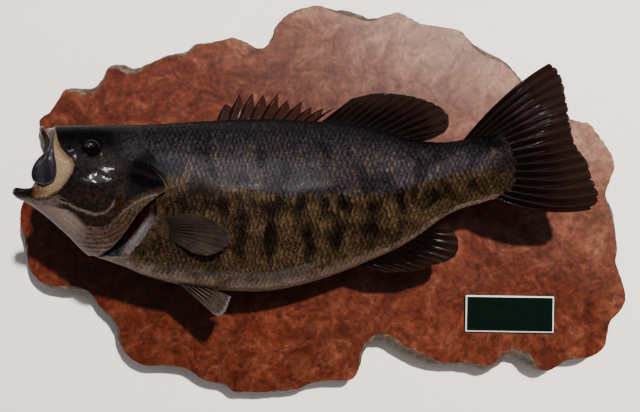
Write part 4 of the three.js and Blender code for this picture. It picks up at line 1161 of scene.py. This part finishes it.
DARK_FIN, GREY_FIN, TAN_FIN = 0, 0.5, 1
SPINY_FIN = 0.12
SOFT_FINS = {
    "dorsal_fin_soft": {
        "rays": 14, "columns": 16, "rows": 30, "tone": DARK_FIN,
        "root": [[0, 73], [34.9, 68.5], [56.6, 63], [82.5, 54]],
        "edge": [[27.9, 94.3], [47.9, 98.5], [69.6, 97.4], [86.8, 93.7], [100.4, 88.3], [108.9, 81.3],
                 [111.9, 74.3], [108.9, 64.8], [98, 58.3]]},
    "anal_fin": {
        "rays": 13, "columns": 16, "rows": 30, "tone": DARK_FIN,
        "root": [[27.9, -51], [50, -43], [69.6, -33], [93.6, -17]],
        "edge": [[57.4, -58.2], [83.6, -56.7], [99.2, -51.3], [112.9, -46.4], [119.3, -38.5],
                 [118.5, -27.1], [111, -15.5]]},
    "tail_fin": {
        "rays": 17, "columns": 16, "rows": 44, "bow": 7, "tone": DARK_FIN,
        "root": [[118, 50], [138, 54], [150, 52], [156, 44], [158, 35], [158, 24], [154, 14], [146, 9]],
        "edge": [[194, 121.3], [199.5, 118.5], [203.8, 112], [207.4, 100.7], [209.5, 83.8],
                 [211.4, 70.2], [213.9, 57.5], [218.8, 47.3], [225.3, 38], [228.5, 26.1], [233.8, 12.6],
                 [234, 4], [228, -3.4]]},
    "pectoral_fin_left": {
        "rays": 14, "columns": 12, "rows": 26, "tone": GREY_FIN,
        "root": [[-139, -11, 31.5], [-137, -18, 31.5], [-135, -25, 30.5]],
        "edge": [[-120, -5.5, 44.5], [-106.5, -8, 48.5], [-94, -12.7, 52.1], [-84.3, -20.7, 53.3],
                 [-81.5, -25.5, 52.9], [-84.2, -31.9, 51.4], [-91.1, -36.8, 48.3], [-102.1, -40.1, 44.4],
                 [-113, -38, 40.6]]},
    "pelvic_fin_left": {
        "rays": 7, "columns": 14, "rows": 24, "tone": TAN_FIN,
        "root": [[-126, -62, 9], [-117, -64, 8], [-107, -65, 6]],
        "edge": [[-94.7, -90.6, 20], [-89.6, -93.2, 20], [-84.3, -90.2, 19], [-80.8, -82.9, 17],
                 [-78.5, -77.5, 14]]},
}
FOLDED_STANDOFF = 3.5
FOLDED_DROP = 0.55
FOLDED_SINK = 8
FOLDED_SIDE = 0.8
ROOT_INSIDE = 0.06


def flank_width(x, z):
    """The flank's half-width at places on the side of the fish."""
    station = np.array(x, float)
    for _ in range(6):
        top, bottom, _ = heights(station)
        station = x + chin_lean(station) * (top - z) / (top - bottom)
    top, bottom, widest = heights(station)
    share = np.where(z > widest, (z - widest) / (top - widest), (widest - z) / (widest - bottom))
    power = np.where(z > widest, back_roundness(station), belly_roundness(station))
    return half_width(station) * np.maximum(1 - np.clip(share, 0, 1) ** power, 0) ** (1 / power)


def folded(left, edge):
    """The far fin of a pair: the root of the near one mirrored, with an edge closer to the body."""
    return dict(left, root=[[x, z, -side] for x, z, side in left["root"]],
                edge=[edge(x, z, side) for x, z, side in left["edge"]])


def closed_sheet(x, z, side, half):
    """Points and faces of a thin closed sheet, from its middle and half its thickness."""
    rows, columns = half.shape
    points = np.vstack([place(x, z, side + half).reshape(-1, 3), place(x, z, side - half).reshape(-1, 3)])
    top = grid_faces(rows, columns, False)
    count = rows * columns
    border = grid_border(rows, columns)
    following = np.roll(border, -1)
    rim_faces = np.stack([border, following, following + count, border + count], 1)
    return points, np.vstack([top, top[:, ::-1] + count, rim_faces]).tolist()


def tube(path, radii, sides):
    """Points and faces of a closed round tube along a path of points."""
    path = np.asarray(path, float)
    ahead = np.gradient(path, axis=0)
    ahead /= np.linalg.norm(ahead, axis=1)[:, None]
    across = np.cross(ahead, (0.13, 0.29, 0.95))
    across /= np.linalg.norm(across, axis=1)[:, None]
    upward = np.cross(across, ahead)
    turn = np.arange(sides)[:, None] / sides * 2 * np.pi
    ring = across[:, None] * np.cos(turn) + upward[:, None] * np.sin(turn)
    return closed_tube((path[:, None] + ring * radii[:, None, None]).reshape(-1, 3), sides)


def fin_material():
    """Dark membrane between browner rays, with a pale, speckled root, under clear coat."""
    shader = new_material("fin_skin", Coat_Weight=0.16, Coat_Roughness=0.08, Specular_IOR_Level=0.01)
    ray, out, tone = shader.carried("ray"), shader.carried("out"), shader.carried("fin_tone")
    blotch = shader.noise(70.0, 5.0, Roughness=0.6)
    fine = shader.noise(700.0, 3.0)
    web = shader.ramp(blotch, [(0.35, (0.0027, 0.0009, 0.0008)), (0.65, (0.0085, 0.0026, 0.0020))])
    web = shader.mix(shader.ramp(out, [(0.62, 0.0), (1.0, 0.7)]), web, (0.0105, 0.0060, 0.0036))
    web = shader.mix(shader.ramp(out, [(0.35, 0.9), (0.75, 0.0)]), web, (0.0013, 0.0008, 0.0008))
    bone = shader.ramp(out, [(0.0, (0.0062, 0.0038, 0.0031)), (0.2, (0.0054, 0.0023, 0.0018)),
                             (0.8, (0.0076, 0.0025, 0.0017))])
    colour = shader.mix(ray, web, bone)
    brown = shader.mix(ray, (0.0170, 0.0066, 0.0042), (0.0034, 0.0018, 0.0014))
    on_ray = shader.ramp(ray, [(0.3, 0.0), (0.7, 1.0)])
    web = shader.ramp(blotch, [(0.35, (0.0070, 0.0048, 0.0038)), (0.65, (0.0230, 0.0165, 0.0135))])
    web = shader.mix(shader.ramp(out, [(0.1, 0.95), (0.75, 0.0)]), web, (0.0034, 0.0020, 0.0014))
    grey = shader.mix(on_ray, web, (0.0215, 0.0145, 0.0105))
    web = shader.ramp(blotch, [(0.35, (0.0020, 0.0011, 0.0008)), (0.65, (0.0060, 0.0034, 0.0022))])
    tan = shader.mix(on_ray, web, (0.060, 0.042, 0.032))
    tan = shader.mix(shader.ramp(out, [(0.9, 0.0), (0.99, 0.7)]), tan, (0.085, 0.076, 0.074))
    for above, other in ((0.05, brown), (0.25, grey), (0.75, tan)):
        colour = shader.mix(shader.ramp(tone, [(above, 0.0), (above + 0.01, 1.0)]), colour, other)
    return shader.dress(shader.mottle(0.6, colour, fine, [(0.35, 0.6), (0.65, 1.3)]),
                        shader.math("MULTIPLY_ADD", blotch, 0.3, 0.25), fine, 0.3, 0.0004)


def new_fin(name, points, faces, stands_for, **values):
    mark(new_piece(name, points, faces, fin_skin, "fin_skin", [stands_for]), **values)


def soft_fin(node, rays, columns, rows, root, edge, tone, bow=0):
    """A fin of skin over split rays, fanned from a root line to a frayed edge."""
    dice = np.random.default_rng(len(node) * 7 + rays)
    count = (rays - 1) * columns + 1
    root_line, edge_line = (curve_through([[*point, 0][:3] for point in line], count)
                            for line in (root, edge))
    ray_place = np.arange(count) / columns
    fraction = ray_place - np.round(ray_place)
    out = np.linspace(-ROOT_INSIDE, 1, rows)[:, None]
    share = np.maximum(out, 0)
    notch = 0.014 + 0.008 * dice.normal(size=rays + 1)[np.round(ray_place).astype(int)]
    fray = 0.006 * dice.normal(size=count)
    reach = 1 - np.abs(notch) * (2 * np.abs(fraction)) ** 1.5 - np.abs(fray)
    first_split, second_split = rise(share, 0.25, 0.7), rise(share, 0.5, 0.95)
    ray = np.zeros((rows, count))
    for one in (-0.25, 0.25):
        for two in (-0.125, 0.125):
            at = one * first_split + two * second_split
            ray = np.maximum(ray, bell(fraction - at, 0.085 - 0.045 * share))
    joints = 1 - 0.25 * (np.sin(share * 2 * np.pi * 26 + 2 * ray_place) > 0.75) * rise(share, 0.3, 0.5)
    half = 0.28 - 0.14 * share + ray * joints * (0.19 - 0.08 * share) + 0.7 * (1 - share) ** 6
    x, z, side = np.moveaxis(root_line + (edge_line - root_line) * (out * reach)[..., None], -1, 0)
    bend = bow * (1 - 2 * np.arange(count) / (count - 1)) * 4 * share * (1 - share)
    wave = 0.8 * share**1.5 * np.sin(ray_place * 0.8 + 1.2 * share + len(node))
    wave = wave + 0.2 * (0.3 + 0.7 * share) * np.sin(ray_place * 2 * np.pi)
    points, faces = closed_sheet(x, z + bend, side + wave * (0.3 if "right" in node else 1), half)
    new_fin(node.replace("_fin", "_rays"), off_slab(points), faces, node,
            ray=np.tile((ray * joints).ravel(), 2), out=np.tile((share + 0 * ray).ravel(), 2),
            fin_tone=np.full(len(points), tone))


SOFT_FINS["pectoral_fin_right"] = folded(
    SOFT_FINS["pectoral_fin_left"], lambda x, z, side: [x, z, -float(flank_width(x, z) + FOLDED_STANDOFF)])
root_z = SOFT_FINS["pelvic_fin_left"]["root"][-1][1]
SOFT_FINS["pelvic_fin_right"] = folded(
    SOFT_FINS["pelvic_fin_left"],
    lambda x, z, side: [x, root_z + (z - root_z) * FOLDED_DROP - FOLDED_SINK, -side * FOLDED_SIDE])
fin_skin = fin_material()
for fin_name, fin_shape in SOFT_FINS.items():
    soft_fin(fin_name, **fin_shape)

SPINE_ROOTS = (-89.4, -7)
SPINE_ROOT_Z = 72
SPINE_TIPS = [(-81.8, 89.6), (-69.4, 98.6), (-58.6, 100.1), (-49, 98.5), (-35.9, 99.9), (-28, 93.8),
              (-14.9, 92.5), (-6.6, 87.2), (3.9, 86.2), (13.1, 85.7)]
SPINE_SIDES = 10
WEB_HIGH = 0.93
WEB_LOW = 0.62

# Each part of the spiny fin as points, faces, share of ray and share of the way out.
parts = []
roots = [np.array((x, SPINE_ROOT_Z)) for x in np.linspace(*SPINE_ROOTS, len(SPINE_TIPS))]
tips = [np.array(tip, float) for tip in SPINE_TIPS]
out = np.linspace(0, 1, 14)
for number, (root, tip) in enumerate(zip(roots, tips)):
    bow = np.array((tip[1] - root[1], root[0] - tip[0])) * 0.05
    line = root + (tip - root) * out[:, None] - bow * np.sin(np.pi * out)[:, None]
    route = place(line[:, 0], line[:, 1], 0.5 * np.sin(number * 2.1) * out)
    points, faces = tube(route, 1.15 * (1 - out) ** 0.6 + 0.12, SPINE_SIDES)
    parts.append((points, faces, np.ones(len(points)), with_ends(np.repeat(out, SPINE_SIDES), SPINE_SIDES)))
across, up = np.meshgrid(np.linspace(0, 1, 12), np.linspace(0, 1, 14))
for number in range(len(tips) - 1):
    low = WEB_LOW + 0.03 * math.sin(number * 5.3)
    top = WEB_HIGH + (low - WEB_HIGH) * rise(across, 0, 0.85) - 0.06 * np.sin(np.pi * across)
    bottom, ends = (line[number] + (line[number + 1] - line[number]) * across[..., None]
                    for line in (roots, tips))
    x, z = np.moveaxis(bottom + (ends - bottom) * (up * top)[..., None], -1, 0)
    points, faces = closed_sheet(x, z, 0.2 * np.sin(np.pi * across) * up * (-1) ** number,
                                 0.25 + 0.25 * np.abs(across - 0.5) + 0.4 * (1 - up) ** 3)
    parts.append((points, faces, np.zeros(len(points)), np.tile((up * top).ravel(), 2)))
firsts = np.cumsum([0] + [len(part[0]) for part in parts])
faces = [[first + i for i in face] for first, part in zip(firsts, parts) for face in part[1]]
points, ray, out = (np.concatenate([part[k] for part in parts]) for k in (0, 2, 3))
new_fin("dorsal_spines", points, faces, "dorsal_fin_spiny", ray=ray, out=out,
        fin_tone=np.full(len(points), SPINY_FIN))

# ---------------------------------------------------------------- the eyes
# Two shallow domes of glass with a black pupil in a dark red-brown iris. Each is set in the eye socket
# from inside, before the skin is drawn over its edge.

EYE_RINGS = 28
EYE_AROUND = 48


def eye_material():
    """Clear-coated glass over a black pupil and an iris with fine flecks."""
    shader = new_material("eye_glass", Coat_Weight=0.35, Coat_Roughness=0.03, Specular_IOR_Level=0.1)
    flecks = shader.noise(1200.0, 4.0)
    shifted = shader.math("MULTIPLY_ADD", flecks, 0.10,
                          shader.math("SUBTRACT", shader.carried("from_axis"), 0.05))
    iris = shader.ramp(shifted, [(0.40, (0.0006, 0.0005, 0.0006)), (0.50, (0.0036, 0.0008, 0.0010)),
                                 (0.62, (0.0030, 0.0007, 0.0009)), (0.76, (0.0014, 0.0006, 0.0008)),
                                 (0.84, (0.0008, 0.0006, 0.0008))])
    return shader.dress(shader.mottle(0.5, iris, flecks, [(0.35, 0.5), (0.65, 1.5)]),
                        shader.math("MULTIPLY_ADD", flecks, 0.1, 0.08))


# A ball squashed along its axis, as distances across, up and outwards.
turn = (np.arange(EYE_AROUND) + 0.5) / EYE_AROUND * 2 * np.pi
slope = np.linspace(0.03, np.pi - 0.03, EYE_RINGS)[:, None]
ball_across, ball_up, ball_out = (part.reshape(-1, 1) for part in np.broadcast_arrays(
    EYE["radius"] * np.sin(slope) * np.cos(turn), EYE["radius"] * np.sin(slope) * np.sin(turn),
    EYE["depth"] * np.cos(slope)))
from_axis = np.where(ball_out > 0, np.hypot(ball_across, ball_up) / EYE["radius"], 1.0).ravel()
eye_glass = eye_material()
for side, name in ((1, "left"), (-1, "right")):
    reach = side * float(flank_width(EYE["x"], EYE["z"]) - EYE["sunk"])
    centre = place(EYE["x"], EYE["z"], reach)
    outward = place(EYE["x"], EYE["z"], reach + side) - centre
    forward = np.cross(outward, (0, 0, 1))
    forward /= np.linalg.norm(forward)
    upward = np.cross(forward, outward)
    points, faces = closed_tube(centre + ball_across * forward + ball_up * upward + ball_out * outward,
                                EYE_AROUND)
    eye = new_piece("glass_eye_" + name, points, faces, eye_glass, "eye_glass", ["eye_" + name])
    mark(eye, from_axis=with_ends(from_axis, EYE_AROUND))

# ---------------------------------------------------------------- the lips and the upper jaw
# The bony upper lip runs round the front of the mouth. A broad glossy maxilla hangs over each corner of
# the mouth from a thin shank under the snout. The tongue lies in the mouth in its own moist skin.

UPPER_LIP_RADIUS = 2.2
UPPER_LIP_ANGLE = 1.6
MAXILLA_FRONT = [(-218.6, 61.5), (-218.5, 51.5), (-219.3, 45.5), (-222.6, 41), (-226.2, 37), (-229.3, 31.7),
                 (-230.8, 26.3), (-230.4, 21.7), (-227.8, 18.4), (-224.6, 16.9)]
MAXILLA_REAR = [(-214.8, 61.9), (-215.6, 51.6), (-215.7, 45.2), (-215, 38.9), (-214, 31.9), (-214, 25.7),
                (-215.7, 20.2), (-218.3, 17.9), (-220.4, 16.9)]
MAXILLA_ROWS = 40


def bone_material(name, gloss, dark, light, violet):
    """Painted bone with broad soft streaks under clear coat."""
    shader = new_material(name, Coat_Weight=gloss, Coat_Roughness=0.08, Specular_IOR_Level=0.05)
    stretched = shader.node("Mapping", Vector=shader.place, Scale=(160, 160, 60)).outputs[0]
    streak = shader.noise(1.0, 5.0, stretched)
    colour = shader.ramp(streak, [(0.30, dark), (0.52, light), (0.72, violet)])
    return shader.dress(shader.mottle(0.4, colour, shader.noise(900.0, 3.0), [(0.35, 0.6), (0.65, 1.3)]),
                        shader.math("MULTIPLY_ADD", streak, 0.3, 0.2), streak, 0.25, 0.0005)


def mouth_lining():
    """The tongue's moist patchy skin."""
    shader = new_material("mouth_lining", Coat_Weight=0.8, Coat_Roughness=0.12, Specular_IOR_Level=0.1)
    patchy = shader.noise(120.0, 5.0)
    return shader.dress(shader.ramp(patchy, [(0.35, (0.055, 0.030, 0.018)), (0.65, (0.11, 0.072, 0.048))]),
                        shader.math("MULTIPLY_ADD", patchy, 0.3, 0.3), patchy, 0.4, 0.0006)


lip_paint = bone_material("painted_lip", 0.06, (0.0030, 0.0014, 0.0013), (0.0080, 0.0034, 0.0030),
                          (0.020, 0.012, 0.010))
maxilla_paint = bone_material("painted_maxilla", 0.9, (0.0038, 0.0028, 0.0044), (0.0085, 0.0062, 0.0088),
                              (0.021, 0.016, 0.021))

lip_angles = np.linspace(-UPPER_LIP_ANGLE, UPPER_LIP_ANGLE, 90)
lip_route = place(*section(LIP_X + lip_sag(down_at(lip_angles)) - 2.8, lip_angles, 0.4 - UPPER_LIP_RADIUS))
lip_taper = UPPER_LIP_RADIUS * (1 - 0.45 * (np.abs(lip_angles) / UPPER_LIP_ANGLE) ** 4)
lip_taper = lip_taper + 0.05 * np.sin(lip_angles * 31) + 0.03 * np.sin(lip_angles * 53)
new_piece("upper_lip_bar", *tube(lip_route, lip_taper, 20), lip_paint, "lip_bone", ["upper_lip"])

front, rear = (curve_through(line, MAXILLA_ROWS)[:, None] for line in (MAXILLA_FRONT, MAXILLA_REAR))
share = np.linspace(0, 1, 18)
down_blade = np.linspace(0, 1, MAXILLA_ROWS)[:, None]
x, z = np.moveaxis(front + (rear - front) * share[:, None], -1, 0)
dome = np.sin(np.pi * share) ** 0.6
ridge = 0.5 * bell(share - 0.3 - 0.1 * down_blade, 0.13) - 0.35 * bell(share - 0.62, 0.12)
outside = 0.6 + 2.0 * dome * (0.6 + 0.4 * down_blade) + ridge * dome
inside = 0.4 * (1 - dome) - 0.9
middle, half = flank_width(x, z) + (outside + inside) / 2, (outside - inside) / 2
for side, name in ((1, "left"), (-1, "right")):
    points, faces = closed_sheet(x, z, side * middle, side * half)
    new_piece("maxilla_blade_" + name, points, faces, maxilla_paint, "lip_bone", ["maxilla_" + name])

coat_node("tongue", mouth_lining())
